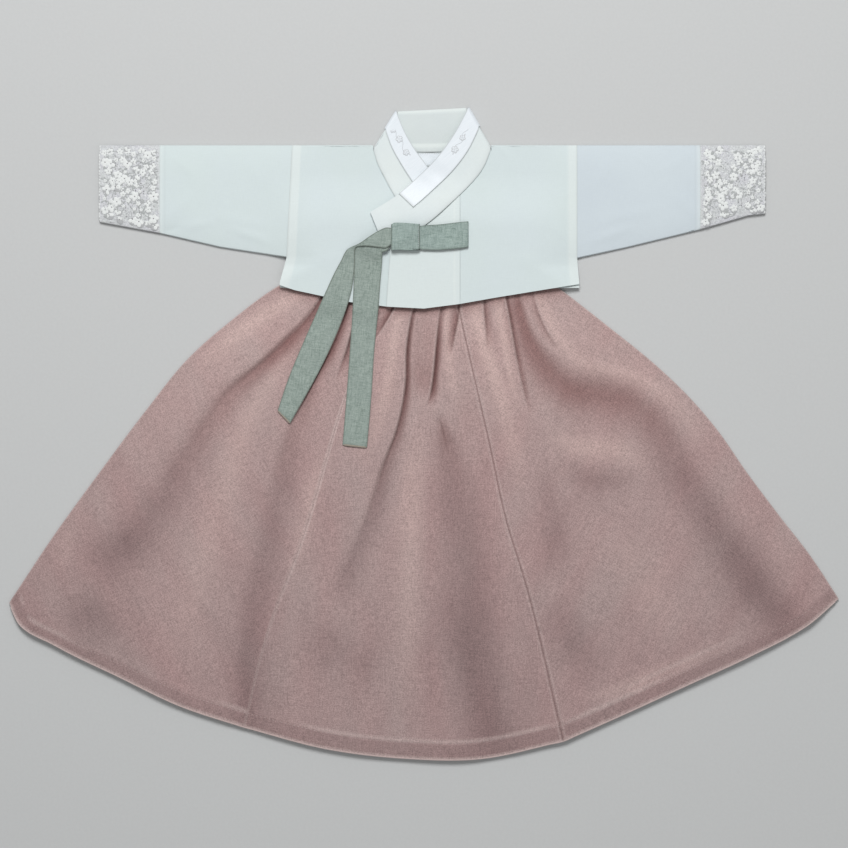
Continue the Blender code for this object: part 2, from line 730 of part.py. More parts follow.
def collar_middle():
    """The middle surface of the collar: under part, back and upper part, folded between."""
    half = COLLAR_WALL / 2
    under = collar_rows(UNDER_COLLAR, UNDER_ROWS)
    back = collar_rows(BACK_COLLAR, NECK_ROWS)
    over = collar_rows(OVER_COLLAR, OVER_ROWS)
    shares = np.array(COLLAR_SHARES)
    strip_edge = shares[STRIP_COLUMNS - 1]
    lift = (STRIP_WALL + SEAM_GAP) * (1 - ease((shares - strip_edge) / (1 - strip_edge)))
    rest = lift + half
    under_part = raised(under, under_top(under) + COLLAR_GAP + half)
    back_part = raised(back, np.repeat(rest[None], len(back), axis=0))
    over_part = raised(over, over_collar_base(over) + half)
    right_fold = collar_rows(BACK_COLLAR, [0])[0]
    left_fold = collar_rows(BACK_COLLAR, [1])[0]
    right_turn = collar_turn(right_fold, (-0.866, 0.5), under_part[-1, :, 2], rest)
    left_turn = collar_turn(left_fold, (0.866, 0.5), over_part[0, :, 2], rest)
    return np.concatenate([under_part, right_turn, back_part, left_turn[::-1], over_part])


def make_collar():
    middle = collar_middle()
    outer, inner = thickened(middle, COLLAR_WALL)
    new_cloth("jeogori_git", outer, inner, WHITE_CLOTH)
    lift = (COLLAR_WALL + STRIP_WALL) / 2 + SEAM_GAP
    strip = thickened(middle, 2 * lift)[0][:-ROWS_PAST_STRIP, :STRIP_COLUMNS]
    new_cloth("jeogori_dongjeong", *thickened(strip, STRIP_WALL), WHITE_SATIN)
    x0, y0, x1, y1 = LABEL
    plan = np.stack(np.meshgrid(np.linspace(x0, x1, 4), np.linspace(y0, y1, 3)), axis=-1)
    top = back_top(plan) + SEAM_GAP + STRIP_WALL
    new_cloth("jeogori_label", *sheet(plan, top, STRIP_WALL), WHITE_SATIN)


# The ribbon


def make_tail(name, table, stations):
    rows = spline(table, np.linspace(0, 1, stations + 1))
    across = np.linspace(0, 1, 4)[:, None]
    plan = rows[:, None, :2] * (1 - across) + rows[:, None, 2:4] * across
    top = ribbon_base(plan) + rows[:, None, 4] + RIBBON_WALL
    new_cloth(name, *sheet(plan, top, RIBBON_WALL), SAGE_CLOTH)


def make_loop():
    rows = np.array(LOOP[::-1], float)
    share = np.linspace(0, 1, 5)[:, None]
    y = rows[:, 1] * (1 - share) + rows[:, 2] * share
    plan = np.stack([np.repeat(rows[None, :, 0], len(share), axis=0), y], axis=-1)
    knot_side = KNOT[2]

    def bottom(points):
        in_knot = 1 - ease((points[..., 0] - knot_side) / 14)
        return ribbon_base(points) + SEAM_GAP + (RIBBON_WALL + KNOT_GAP) * in_knot

    def top(points):
        return bottom(points) + LOOP_HEIGHT

    new_cloth("goreum_loop", *folded(plan, plan, bottom, top, RIBBON_WALL), SAGE_CLOTH)


def make_knot():
    x0, y0, x1, y1 = KNOT
    shares = np.array([0, 0.16, 0.33, 0.5, 0.67, 0.84, 1])
    y_values = y0 + (y1 - y0) * shares
    plan = np.stack(np.meshgrid(y_values, np.linspace(x0, x1, 5)), axis=-1)[..., ::-1]

    def bottom(points):
        return ribbon_base(points) + KNOT_GAP

    def top(points):
        return bottom(points) + KNOT_HEIGHT

    rings = tube(plan, plan, bottom, top, RIBBON_WALL)
    new_cloth("goreum_knot", *rings, SAGE_CLOTH, ring=True)


def main():
    for old in list(bpy.data.objects):
        bpy.data.objects.remove(old, do_unlink=True)
    make_skirt()
    make_jacket_body()
    make_sleeves()
    make_collar()
    make_tail("goreum_tail_short", SHORT_TAIL, 26)
    make_tail("goreum_tail_long", LONG_TAIL, 26)
    make_loop()
    make_knot()


main()
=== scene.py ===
"""The looks of a baby girl's hanbok laid flat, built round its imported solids.

Sizes are in millimetres in the solids' own frame, and meshes are made in metres. +X is the
wearer's left, +Y runs up to the collar, and +Z is away from the surface the clothes lie on.
"""

import bpy
import numpy as np
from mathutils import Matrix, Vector


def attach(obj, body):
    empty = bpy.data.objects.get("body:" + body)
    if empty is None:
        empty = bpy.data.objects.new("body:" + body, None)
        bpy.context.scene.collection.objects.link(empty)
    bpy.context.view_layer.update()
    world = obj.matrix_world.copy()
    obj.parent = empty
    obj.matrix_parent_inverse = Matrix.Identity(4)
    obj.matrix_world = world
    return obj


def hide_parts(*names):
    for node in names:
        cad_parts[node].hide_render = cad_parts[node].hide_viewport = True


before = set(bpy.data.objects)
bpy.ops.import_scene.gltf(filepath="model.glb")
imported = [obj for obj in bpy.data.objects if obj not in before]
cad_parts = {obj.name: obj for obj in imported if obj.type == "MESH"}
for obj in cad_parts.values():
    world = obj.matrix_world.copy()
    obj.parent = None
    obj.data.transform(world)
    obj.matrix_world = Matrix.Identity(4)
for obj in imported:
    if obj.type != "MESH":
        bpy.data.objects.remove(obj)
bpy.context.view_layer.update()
MM = 0.001

# Camera, straight above
CAMERA_Y = 10.3
CAMERA_HEIGHT = 2600.0
VIEW_WIDTH = 918.4
VIEW_PLANE = 5.0

# Cloth walls, and the walls and gaps of the solids that heights are worked out from
SKIRT_CLOTH = 0.6
JACKET_CLOTH = 0.7
RIBBON_CLOTH = 0.8
JACKET_WALL = 1.4
CUFF_WALL = 1.8
COLLAR_WALL = 1.4
STRIP_WALL = 1.0
LABEL_CLOTH = 0.6
RIBBON_WALL = 1.2
SEAM_GAP = 0.3
SEAM = 0.08
LAYER_GAP = 0.6
COLLAR_GAP = 0.7
# The underside's height over the surface that the clothes lie on
UNDERSIDE = 0.05

# The lamps: places and sizes in metres, power in watts
KEY_PLACE = (-0.14, 1.75, 2.6)
KEY_SIZE = 1.1
KEY_POWER = 72.0
FILL_PLACE = (0.5, -1.4, 2.4)
FILL_SIZE = 2.2
FILL_POWER = 8.0
AMBIENT = 0.30
# The floor, in millimetres
FLOOR_REACH = 3000.0
FLOOR_HEIGHT = -0.4

# How finely the sheets are meshed: steps round a fold, how far from its tip its height is
# taken, then rows and columns
FOLD_STEPS = 8
FOLD_REACH = 2.0
SKIRT_ROW_POWER = 1.25
FRONT_GRID = (171, 151)
BACK_GRID = (91, 81)
SIDE_ROWS = 151
SIDE_UNDER = [0, *np.linspace(0.03, 1, 31)]
SIDE_OVER = [0, *np.linspace(0.012, 1, 121)]
BAND_ROWS = 13
BAND_COLUMNS = 121
HEM_STATIONS = 620
OVERLAP_GRID = (71, 61)
SLEEVE_STATIONS = 80
CUFF_STATIONS = 60
LABEL_GRID = (21, 49)
TAIL_GRID = (171, 29)
LOOP_TIMES = 12
LOOP_COLUMNS = 27
KNOT_GRID = 41

# The skirt
BAND_TOP = 223.0
BAND_BOTTOM = 182.0
BAND_HALF_WIDTH = 113.5
BAND_HEIGHT = 6.4
BAND_END = 1.6
BAND_FOLD = 9.0
BAND_CLEAR = 3.0
BAND_GATHER = 2.1
FOLD_HEIGHT = 3.6
SKIRT_EASE = 45.0
# Right and left side folds, from the band to the hem's tips
# x, y
RIGHT_FOLD = [(-114, 182), (-158, 160), (-206, 125), (-257, 80), (-300, 27), (-351, -41),
              (-401, -110), (-449.5, -183)]
LEFT_FOLD = [(114, 182), (146, 158), (196, 119), (256, 70), (288, 39), (318, 4), (350, -42),
             (386, -90), (420, -134), (449.5, -179)]
# The two seams that join the widths, from the band to the hem
RIGHT_SEAM = [(-34, 182), (-50, 136), (-86, 36), (-134, -121), (-167, -207), (-195, -318)]
LEFT_SEAM = [(28, 182), (44, 107), (71, -12), (89, -94), (109, -159), (151, -333)]
# The hem of each width, from right to left
RIGHT_HEM = [(-449.5, -183), (-440, -204), (-398, -230), (-329, -264), (-264, -295), (-195, -318)]
FRONT_HEM = [(-195, -318), (-102, -342), (-20, -351.7), (60, -352.2), (151, -333)]
LEFT_HEM = [(151, -333), (223, -301), (288, -271), (353, -241), (413, -209), (449.5, -179)]
# Crest height of the skirt's front down its length
# y, height
SKIRT_CRESTS = [(-354, 6.6), (-300, 7.0), (-200, 8.5), (-100, 10.5), (0, 12.0), (60, 11.5),
                (100, 9.6), (128, 7.3), (140, 7.0), (223, 7.0)]
# The folds, each from the waist down or where the cloth sinks. On its high side, -1 towards
# -X and 1 towards +X, the cloth falls into it more steeply, and 0 has none. At each station a
# fold is as wide as said, takes its share of the cloth's height away, and darkens its colour
# by its tone, as painted shade.
# x, y, width, share, tone
FOLDS = [
    # Right side
    (-1, [
        (-102, 162, 5.4, 0.75, 0.85), (-127, 123, 7.6, 0.75, 0.98),
        (-155, 94, 8.1, 0.75, 0.98), (-174, 76, 8.1, 0.7, 0.9), (-208, 45, 10.3, 0.6, 0.52),
        (-238, 2, 13, 0.55, 0.46), (-264, -40, 15.2, 0.5, 0.46), (-297, -94, 19.5, 0.5, 0.48),
        (-329, -129, 21.7, 0.35, 0.6), (-360, -153, 20.6, 0.1, 0)]),
    # Beside right seam
    (-1, [
        (-78, 155, 4.3, 0.7, 0.8), (-88, 121, 4.3, 0.7, 0.95), (-102, 88, 4.9, 0.65, 0.9),
        (-121, 58, 5.4, 0.55, 0.7), (-135, 23, 8.7, 0.45, 0.4), (-146, -12, 10.8, 0.4, 0.4),
        (-158, -67, 13, 0.4, 0.42), (-170, -126, 15.2, 0.4, 0.4),
        (-183, -180, 15.2, 0.4, 0.45), (-191, -245, 16.2, 0.35, 0.5),
        (-192, -302, 16.2, 0.3, 0.55), (-192, -364, 16.2, 0.3, 0.5)]),
    # Short, right
    (-1, [
        (-61, 155, 4.3, 0.7, 0.6), (-74, 121, 4.3, 0.7, 0.7), (-83, 90, 5.4, 0.6, 0.7),
        (-95, 56, 5.4, 0, 0)]),
    # Short, by the centre
    (1, [
        (-24, 162, 4.3, 0.65, 0.7), (-36, 131, 4.3, 0.65, 0.85), (-45, 116, 4.3, 0.5, 0.6),
        (-56, 99, 5.4, 0, 0)]),
    # Centre right
    (-1, [
        (-4, 162, 4.3, 0.8, 0.5), (-13, 125, 2.8, 0.8, 0.7), (-18, 90, 3, 0.8, 0.85),
        (-19, 53, 3.7, 0.75, 0.85), (-28, 6, 5, 0.65, 0.7), (-43, -35, 6.5, 0.55, 0.58),
        (-55, -79, 8.7, 0.45, 0.6), (-71, -124, 10.8, 0.4, 0.5), (-86, -159, 11.9, 0.25, 0.35),
        (-100, -187, 13, 0, 0)]),
    # Box pleat
    (0, [
        (0, 149, 9.7, 0.3, 0.2), (-1, 90, 9.7, 0.35, 0.22), (0, 51, 9.7, 0.3, 0.36),
        (3, 36, 7.6, 0, 0)]),
    # Box pleat's far side
    (-1, [
        (22, 155, 4.3, 0.8, 0.3), (17, 121, 3, 0.8, 0.5), (14, 93, 3.5, 0.8, 0.98),
        (11, 62, 3.5, 0.75, 0.98), (8, 43, 4.3, 0.55, 0.8), (4, 30, 4.3, 0, 0)]),
    # Centre left
    (0, [
        (15, 23, 4.3, 0, 0), (21, 2, 5.4, 0.4, 0.5), (27, -27, 8.7, 0.42, 0.4),
        (36, -72, 16.2, 0.4, 0.42), (44, -126, 20.6, 0.4, 0.44), (50, -180, 22.7, 0.4, 0.48),
        (49, -224, 23.8, 0.42, 0.64), (61, -278, 22.7, 0.4, 0.55), (73, -321, 22.7, 0.4, 0.64),
        (78, -375, 22.7, 0.4, 0.62)]),
    # By the left seam
    (1, [
        (41, 158, 5.4, 0.65, 0.6), (37, 128, 4.9, 0.65, 0.8), (32, 103, 4.3, 0.5, 0.6),
        (28, 82, 4.3, 0, 0)]),
    # Short, left
    (-1, [
        (64, 160, 4.3, 0.6, 0.6), (66, 132, 4.3, 0.6, 0.7), (68, 110, 4.3, 0.45, 0.5),
        (69, 88, 4.3, 0, 0)]),
    # Pressed, left
    (-1, [
        (86, 164, 4.3, 0.7, 0.8), (92, 134, 4.3, 0.7, 0.9), (97, 107, 4.3, 0.65, 0.8),
        (103, 74, 3.8, 0.5, 0.6), (109, 45, 3.8, 0.3, 0.4), (116, 15, 3.8, 0, 0)]),
    # Left side
    (1, [
        (101, 162, 6.5, 0.6, 0.8), (105, 132, 8.7, 0.7, 0.9), (115, 101, 10.8, 0.7, 0.95),
        (134, 69, 15.2, 0.65, 0.85), (158, 47, 18.4, 0.6, 0.85), (191, 40, 19.5, 0.55, 0.8),
        (227, 31, 18.4, 0.5, 0.66), (256, 4, 18.4, 0.5, 0.52), (274, -33, 19.5, 0.45, 0.5),
        (299, -76, 19.5, 0.45, 0.52), (323, -113, 21.7, 0.45, 0.6),
        (349, -151, 22.7, 0.45, 0.66), (377, -187, 21.7, 0.4, 0.66),
        (403, -224, 21.7, 0.3, 0.5)]),
    # Beside left side
    (1, [
        (115, 164, 4.3, 0.4, 0.3), (123, 132, 4.3, 0.4, 0.38), (134, 107, 4.9, 0.3, 0.3),
        (147, 88, 5.4, 0, 0)]),
    # Left, across
    (0, [
        (143, -35, 8.7, 0, 0), (169, -51, 9.7, 0.25, 0.32), (204, -57, 10.8, 0.25, 0.36),
        (240, -48, 10.8, 0, 0)]),
    # Left, down
    (0, [
        (127, -24, 7.6, 0, 0), (134, -68, 9.7, 0.3, 0.3), (142, -121, 10.8, 0.3, 0.34),
        (147, -167, 10.8, 0, 0)]),
    # Left, low
    (0, [
        (134, -180, 13, 0, 0), (152, -207, 15.2, 0.25, 0.34), (167, -240, 15.2, 0.2, 0.3),
        (182, -278, 13, 0, 0)]),
    # Front, low
    (0, [
        (-130, -211, 13, 0, 0), (-102, -232, 16.2, 0.25, 0.28), (-69, -254, 17.3, 0.2, 0.22),
        (-45, -282, 13, 0, 0)]),
    # Right, low
    (0, [
        (-390, -176, 13, 0, 0), (-362, -198, 15.2, 0.22, 0.36), (-331, -228, 13, 0, 0)]),
]
# Ridges between them, where the cloth stands up, with a painted highlight that makes it paler
# x, y, width, rise, paleness
RIDGES = [
    [
        (-139, 149, 7.6, 0.5, 0.8), (-175, 127, 8.7, 0.7, 0.8), (-208, 103, 9.7, 0.6, 0.6),
        (-247, 67, 10.8, 0, 0)],
    [
        (-134, 101, 6.5, 0.4, 0.3), (-169, 53, 9.7, 0.5, 0.4), (-199, -7, 13, 0.5, 0.5),
        (-225, -94, 19.5, 0.6, 0.45), (-253, -191, 21.7, 0.5, 0.3), (-269, -267, 21.7, 0, 0)],
    [
        (-28, 125, 5.4, 0.5, 0.6), (-34, 90, 6.5, 0.8, 0.65), (-39, 53, 7.6, 0.7, 0.65),
        (-52, 9, 8.7, 0.5, 0.5), (-69, -40, 9.7, 0, 0)],
    [
        (-102, -7, 8.7, 0, 0), (-117, -50, 9.7, 0.5, 0.5), (-131, -105, 9.7, 0.5, 0.4),
        (-145, -169, 9.7, 0, 0)],
    [
        (-4, 15, 9.7, 0, 0), (-11, -40, 13, 0.5, 0.5), (-15, -137, 15.2, 0.5, 0.45),
        (-17, -234, 15.2, 0.5, 0.35), (-15, -310, 15.2, 0, 0)],
    [
        (26, 145, 3.8, 0.3, 0.7), (25, 112, 4.3, 0.4, 0.8), (28, 69, 5.4, 0.4, 0.5),
        (41, 25, 6.5, 0, 0)],
    [
        (54, 138, 6.5, 0.5, 0.9), (65, 96, 7.6, 0.7, 0.95), (79, 53, 8.7, 0.6, 0.7),
        (95, -7, 9.7, 0.5, 0.5), (108, -72, 9.7, 0, 0)],
    [
        (79, 145, 4.3, 0.5, 0.8), (86, 107, 5.4, 0.6, 0.8), (94, 58, 5.4, 0.5, 0.6),
        (104, 4, 6.5, 0, 0)],
    [
        (126, 147, 6.5, 0.5, 0.65), (143, 107, 7.6, 0.7, 0.5), (169, 77, 8.7, 0.7, 0.5),
        (223, 62, 9.7, 0.6, 0.5), (269, 34, 10.8, 0.5, 0.4), (303, -18, 10.8, 0, 0)],
    [
        (131, 2, 9.7, 0, 0), (164, -14, 11.9, 0.6, 0.65), (208, -18, 13, 0.6, 0.65),
        (251, -40, 13, 0, 0)],
    [
        (191, -105, 19.5, 0, 0), (223, -137, 23.8, 0.4, 0.3), (256, -191, 23.8, 0.4, 0.3),
        (288, -245, 19.5, 0, 0)],
    [
        (169, -289, 7.6, 0, 0), (212, -278, 8.7, 0.3, 0.55), (277, -250, 8.7, 0.3, 0.5),
        (342, -219, 7.6, 0, 0)],
    [
        (-373, -50, 13, 0, 0), (-388, -115, 13, 0.4, 0.3), (-405, -169, 10.8, 0, 0)],
]

# The jacket
SUPPORT = 7.3
SUPPORT_FADE = 60.0
CENTRE = 9.0
SHOULDER = 312.5
UNDERARM = 190.0
FRONT_EASE = 2.2
SLEEVE_FADE = 45.0
BODY_RIGHT = -145.0
BODY_LEFT = 166.0
NECK_RIGHT = -55.0
NECK_LEFT = 73.0
NECK_GAP = 0.8
SEOP_SEAM = 39.0
UNDERLAP = 34.0
UNDERLAP_TOP = 196.0
UNDERLAP_CLEAR = 6.0
UNDERLAP_FADE = 40.0
# How far the back hangs below the front: it shows at the two corners only
# x, drop
BACK_DROP = [(-156, 3.4), (-135, -0.6), (136, -0.6), (168, 4.2)]
# Side lines, from the shoulder down the armhole and the side to the hem
# y, x
RIGHT_SIDE = [(163, -156), (190, -149), (312.5, -143)]
LEFT_SIDE = [(162, 168), (190, 166), (312.5, 166)]
# Jacket hem
# x, y
JACKET_HEM = [(-156, 163), (-134, 155), (-78, 142), (-39, 137), (0, 135), (39, 140), (78, 147),
              (126, 155), (168, 162)]
# Sleeve lines, from the armhole to the cuff's end: where each lies, and its lower edge
# x, y
RIGHT_SLEEVE = [(-351, 229), (-286, 217), (-221, 202), (-149, 191)]
LEFT_SLEEVE = [(166, 190), (221, 202), (299, 221), (351, 236), (369, 238)]
RIGHT_CUFF = -286.0
LEFT_CUFF = 299.0
RIGHT_END = -351.0
LEFT_END = 369.0
# The overlap panel's free edge
# y, x
SEOP_EDGE = [(138, -41), (166, -39), (206, -36)]
# Columns of each half of the body: how many lie between its side and the neck, and the x of
# the others from there to its free edge
RIGHT_OUTER = 8
RIGHT_INNER = [-48, -43, -38, -32, -26, -18, -9, 0, 8.85, 17, 25, 34]
LEFT_OUTER = 9
LEFT_INNER = [67, 61, 54, 47, 39.15, 29, 19, 9.15]
# How many columns reach the back's middle seam, and each front's edge or seam
RIGHT_BACK, RIGHT_FRONT = 17, 20
LEFT_BACK, LEFT_FRONT = 17, 14
# Shares of the way down the body's front and back, and across a sleeve's upper and under side
FRONT_ROWS = [0, 0.04, 0.11, 0.19, 0.28, 0.37, 0.46, 0.55, 0.64, 0.73, 0.805, 0.9, 1]
BACK_ROWS = [0, 0.04, 0.15, 0.27, 0.4, 0.53, 0.67, 0.805, 0.9, 1]
SLEEVE_OVER = [0, 0.045, 0.12, 0.21, 0.31, 0.42, 0.53, 0.64, 0.75, 0.86, 0.955, 1]
SLEEVE_UNDER = [0, 0.045, 0.2, 0.4, 0.6, 0.8, 0.955, 1]

# The collar, as pairs of points on its neck edge and its outer edge
# neck x, neck y, outer x, outer y
UNDER_COLLAR = [
    (15, 273, -19, 241),
    (4, 289, -31, 256),
    (-10, 308, -43, 278),
    (-20, 325, -50, 292),
    (-30, 349, -55, 309),
]
BACK_COLLAR = [
    (-30, 349, -55, 309),
    (-10, 350, -23, 306),
    (9, 351, 9, 305.5),
    (28, 352, 42, 307),
    (48, 353, 73, 310),
]
OVER_COLLAR = [
    (48, 353, 73, 310),
    (33, 325, 64, 288),
    (16, 301, 51, 271),
    (-5, 279, 32, 252),
    (-27, 259, 5, 228),
    (-58, 239, -41, 197),
]
# Shares of the collar's width, the first three under the satin strip, and of its length
COLLAR_SHARES = [0, 0.24, 0.48, 0.74, 1]
STRIP_COLUMNS = 3
STRIP_END = 0.767
UNDER_LIFT = 1.6
COLLAR_LAP = 8.0
COLLAR_HALF = 20.0
COLLAR_FADE = 16.0

# Rows down each stretch of collar, as shares of its length
UNDER_ROWS = np.linspace(0, 0.96, 11)
NECK_ROWS = np.linspace(0.045, 0.955, 7)
OVER_ROWS = [*np.linspace(0.03, STRIP_END, 11), 0.83, 0.89, 0.95, 1]
ROWS_PAST_STRIP = 4
# The neck label's corners
LABEL = (-8.0, 290.0, 26.0, 304.5)

# The ribbon. It steps down off the left front's edge, then off the jacket's hem onto the
# skirt, whose pleats it bridges.
STEP_X = -54.0
STEP_WIDTH = 13.0
HEM_CLEAR = 4.0
HEM_DROP = 26.0
BRIDGE = 6.0
KNOT = (-35.5, 197.5, -4.5, 227.0)
KNOT_HEIGHT = 6.0
KNOT_DROP = 1.2
KNOT_ROUND = 1.8
KNOT_GAP = 0.5
LOOP_HEIGHT = 4.0
KNOT_LOOP = 2.0
# Loop, from inside the knot to its folded end
# x, lower y, upper y
LOOP = [(-16, 203.0, 221.5), (-4, 199.0, 223.6), (4, 198.2, 224.6), (17, 198, 225.5),
        (38, 199.8, 228), (48, 201.4, 228.8)]
# Tails, from inside the knot round the turn and down; lift is the height over what they lie on
# outer x, outer y, inner x, inner y, lift
SHORT_TAIL = [
    (-22, 221, -22, 204, 3.4),
    (-35, 221.5, -35, 203.5, 3.4),
    (-40, 222, -40, 200.5, 3.3),
    (-49, 218.5, -47, 200.5, 3.2),
    (-58, 213, -56, 201.5, 3.0),
    (-69, 205.5, -66, 202, 2.8),
    (-83, 198.5, -74.0, 199.5, 1.8),
    (-90, 186, -74.9, 184, 0.5),
    (-96, 175, -76.1, 168, 0.4),
    (-108, 149, -82, 141, 0.4),
    (-121, 120, -94, 109, 0.4),
    (-134, 90, -107, 80, 0.4),
    (-147, 58, -122, 51, 0.4),
    (-158, 25, -144.5, 11, 0.4),
]
LONG_TAIL = [
    (-22, 220, -22, 205, 1.8),
    (-35, 219, -35, 204.5, 1.8),
    (-42, 216.5, -39, 198, 1.7),
    (-51, 212.5, -43, 196, 1.4),
    (-61, 207, -44.5, 195.5, 1.0),
    (-74.2, 200.5, -45, 194, 0.6),
    (-74.9, 186, -45.5, 182, 0.5),
    (-75.8, 168, -47, 166, 0.4),
    (-77, 138, -49, 138, 0.4),
    (-80, 92, -53.5, 92, 0.4),
    (-84, 37, -57, 37, 0.4),
    (-88, -12, -61.5, -15, 0.4),
]

# How steeply a fold of each width falls on its high side, and how far its painted shade
# reaches past its other side, both as shares of its width
# width, steep share, reach share
FOLD_SLOPES = [(3.2, 0.25, 1.2), (6.0, 0.30, 1.8), (9.0, 0.50, 1.6), (14.0, 0.85, 1.4),
               (20.0, 1.00, 1.25)]
NEAR_LEAST = 1.4
# Where a narrow fold's pressed edge has its painted highlight, and the width from which it has
# none
PRESSED_EDGE = 1.9
NARROW = 9.0
SKIRT_RIPPLE = 0.35
HEM_RIM = 0.75
HEM_STITCH = 4.6
HEM_END = 26.0
# Depth of the hem's band along the skirt
# x, depth
HEM_BANDS = [(-440, 13.0), (-300, 15.0), (-195, 17.0), (-60, 20.0), (80, 20.0), (200, 17.0),
             (440, 14.0)]
# Creases of the jacket, in its sleeves and beside its seams
# x0, y0, x1, y1, width, rise
CREASES = [
    (-286, 218, -262, 224, 3.5, -0.40),
    (-262, 222, -226, 230, 5.0, 0.55),
    (-160, 205, -215, 224, 5.0, 0.65),
    (-158, 222, -240, 238, 7.0, 0.40),
    (-150, 204, -128, 226, 5.0, 0.45),
    (-282, 224, -252, 262, 6.0, 0.45),
    (-276, 301, -240, 276, 6.0, 0.35),
    (-190, 300, -172, 262, 7.0, 0.30),
    (-120, 180, -92, 196, 8.0, 0.35),
    (-110, 282, -86, 232, 9.0, 0.40),
    (176, 206, 232, 226, 5.0, 0.55),
    (178, 226, 262, 246, 7.0, 0.40),
    (160, 205, 138, 228, 5.0, 0.45),
    (296, 232, 268, 262, 6.0, 0.45),
    (290, 303, 254, 280, 6.0, 0.35),
    (205, 302, 186, 264, 7.0, 0.30),
    (130, 178, 96, 192, 8.0, 0.35),
    (86, 310, 104, 262, 5.0, 0.60),
    (80, 316, 92, 298, 3.0, 0.45),
    (60, 250, 88, 205, 10.0, 0.35),
]
JACKET_RIPPLE = 0.12
# Fine rows of the collar between which it lies behind the neck
COLLAR_BACK = (58, 122)
# Rows of the satin strip that carry a flower, near both ends of the back of the neck
COLLAR_FLOWERS = (28, 37, 45, 133, 140, 147)
SEAM_BAND = 11.0
FINE = 5

# The cuffs' embroidery: how far it stands off them, and how far inside their edges it keeps
FLOWER_RISE = 0.42
FLOWER_EDGE = 6.5
FLOWER_FLOOR = 225.0
FLOWER_SIZES = [2.3, 3.2, 4.2, 5.0, 5.8]
FLOWER_SPACING = 6.4
SPECK_SPACING = 2.1
MISSING_PETALS = 0.08
STEM_LENGTH = 10.0
LACE_CELL = 1.5

# Linear colours
SKIRT_GREY = (0.405, 0.302, 0.291)
SKIRT_ROSE = (0.402, 0.270, 0.262)
# Paler for the ridges' painted highlight and the waist, then the painted shade's colours, the hem
# band, dark seam lines with painted crease shade, and the rolled hem with painted highlights
SKIRT_PALE = (0.590, 0.432, 0.402)
SKIRT_SHADE = (0.150, 0.090, 0.091)
SKIRT_WARM_SHADE = (0.205, 0.094, 0.088)
SKIRT_HEM = (0.275, 0.185, 0.180)
SKIRT_SEAM_AND_SHADE = (0.095, 0.045, 0.041)
SKIRT_RIM_AND_HIGHLIGHT = (0.560, 0.445, 0.425)
WHITE_BODY = (0.640, 0.722, 0.716)
WHITE_COOL = (0.640, 0.710, 0.740)
WHITE_SHADED_BLUE = (0.592, 0.660, 0.704)
WHITE_SHADE = (0.400, 0.430, 0.425)
WHITE_SEAM_AND_HIGHLIGHT = (0.745, 0.800, 0.785)
SATIN_LOW = (0.700, 0.755, 0.800)
SATIN_HIGH = (0.785, 0.830, 0.868)
SAGE_LOW = (0.150, 0.198, 0.172)
SAGE_HIGH = (0.420, 0.490, 0.445)
SAGE_GREY = (0.312, 0.365, 0.342)
SAGE_EDGE_SHADE = (0.105, 0.120, 0.098)
LACE_LILAC = (0.690, 0.705, 0.760)
LACE_GREEN = (0.660, 0.705, 0.690)
LACE_DARK = (0.380, 0.380, 0.405)
LACE_WHITE = (0.800, 0.800, 0.810)
THREAD_WHITE = (0.845, 0.870, 0.862)
THREAD_LEAF = (0.460, 0.480, 0.480)
THREAD_EYE = (0.180, 0.170, 0.185)
THREAD_SHADE = (0.470, 0.480, 0.490)
THREAD_PALE = (0.610, 0.640, 0.660)
TAIL_END = (0.330, 0.290, 0.235)
FLOOR = (0.560, 0.570, 0.570)


# Meshes


def finer(values, times):
    """Values with evenly spaced ones put between each pair."""
    at = np.linspace(0, len(values) - 1, (len(values) - 1) * times + 1)
    return np.interp(at, np.arange(len(values)), values)


def new_piece(name, points, faces, layers=None, sharp=0.7):
    """A smooth piece. Layers are values for each of its points."""
    data = bpy.data.meshes.new(name)
    data.from_pydata((points * MM).tolist(), [], faces)
    for layer, values in (layers or {}).items():
        attribute = data.attributes.new(layer, "FLOAT", "POINT")
        attribute.data.foreach_set("value", values.astype(np.float32))
    data.shade_smooth()
    data.set_sharp_from_angle(angle=sharp)
    return placed(name, data)


def placed(name, data):
    """Something in the scene, of the given mesh, camera or lamp."""
    piece = bpy.data.objects.new(name, data)
    bpy.context.scene.collection.objects.link(piece)
    return piece


def shell(name, outer, inner, present=None, ring=False, **layers):
    """A closed sheet between two grids of points. Layers are values for each outer point."""
    rows, columns = outer.shape[:2]
    if present is None:
        present = np.ones((rows - 1, columns if ring else columns - 1), bool)
    count = rows * columns
    index = np.arange(count).reshape(rows, columns)
    if ring:
        index = np.concatenate([index, index[:, :1]], axis=1)
    corners = [index[:-1, :-1], index[1:, :-1], index[1:, 1:], index[:-1, 1:]]
    cells = np.stack(corners, axis=-1)[present]
    faces = [cells, cells[:, ::-1] + count]
    around = np.pad(present, 1)
    if ring:
        around[1:-1, 0] = present[:, -1]
        around[1:-1, -1] = present[:, 0]
    beside = [around[1:-1, :-2], around[2:, 1:-1], around[1:-1, 2:], around[:-2, 1:-1]]
    for edge in range(4):
        rim = present & ~beside[edge]
        first, second = corners[edge][rim], corners[(edge + 1) % 4][rim]
        faces.append(np.stack([second, first, first + count, second + count], axis=-1))
    faces = np.concatenate(faces)
    points = np.concatenate([outer.reshape(-1, 3), inner.reshape(-1, 3)])
    a, b, c, d = (points[faces[:, k]] for k in range(4))
    volume = np.einsum("ij,ij->", a, np.cross(b, c)) + np.einsum("ij,ij->", a, np.cross(c, d))
    if volume < 0:
        faces = faces[:, ::-1]
    used, faces = np.unique(faces, return_inverse=True)
    layers = {layer: np.tile(values.ravel(), 2)[used] for layer, values in layers.items()}
    return new_piece(name, points[used], faces.reshape(-1, 4).tolist(), layers)


def ring_index(rings, sides, start):
    """The numbers of the points in a stack of rings, and of the next point round each ring."""
    index = np.arange(rings * sides).reshape(rings, sides) + start
    return index, np.roll(index, -1, axis=1)


def quads(*corners):
    return np.stack(corners, axis=-1).reshape(-1, 4).tolist()


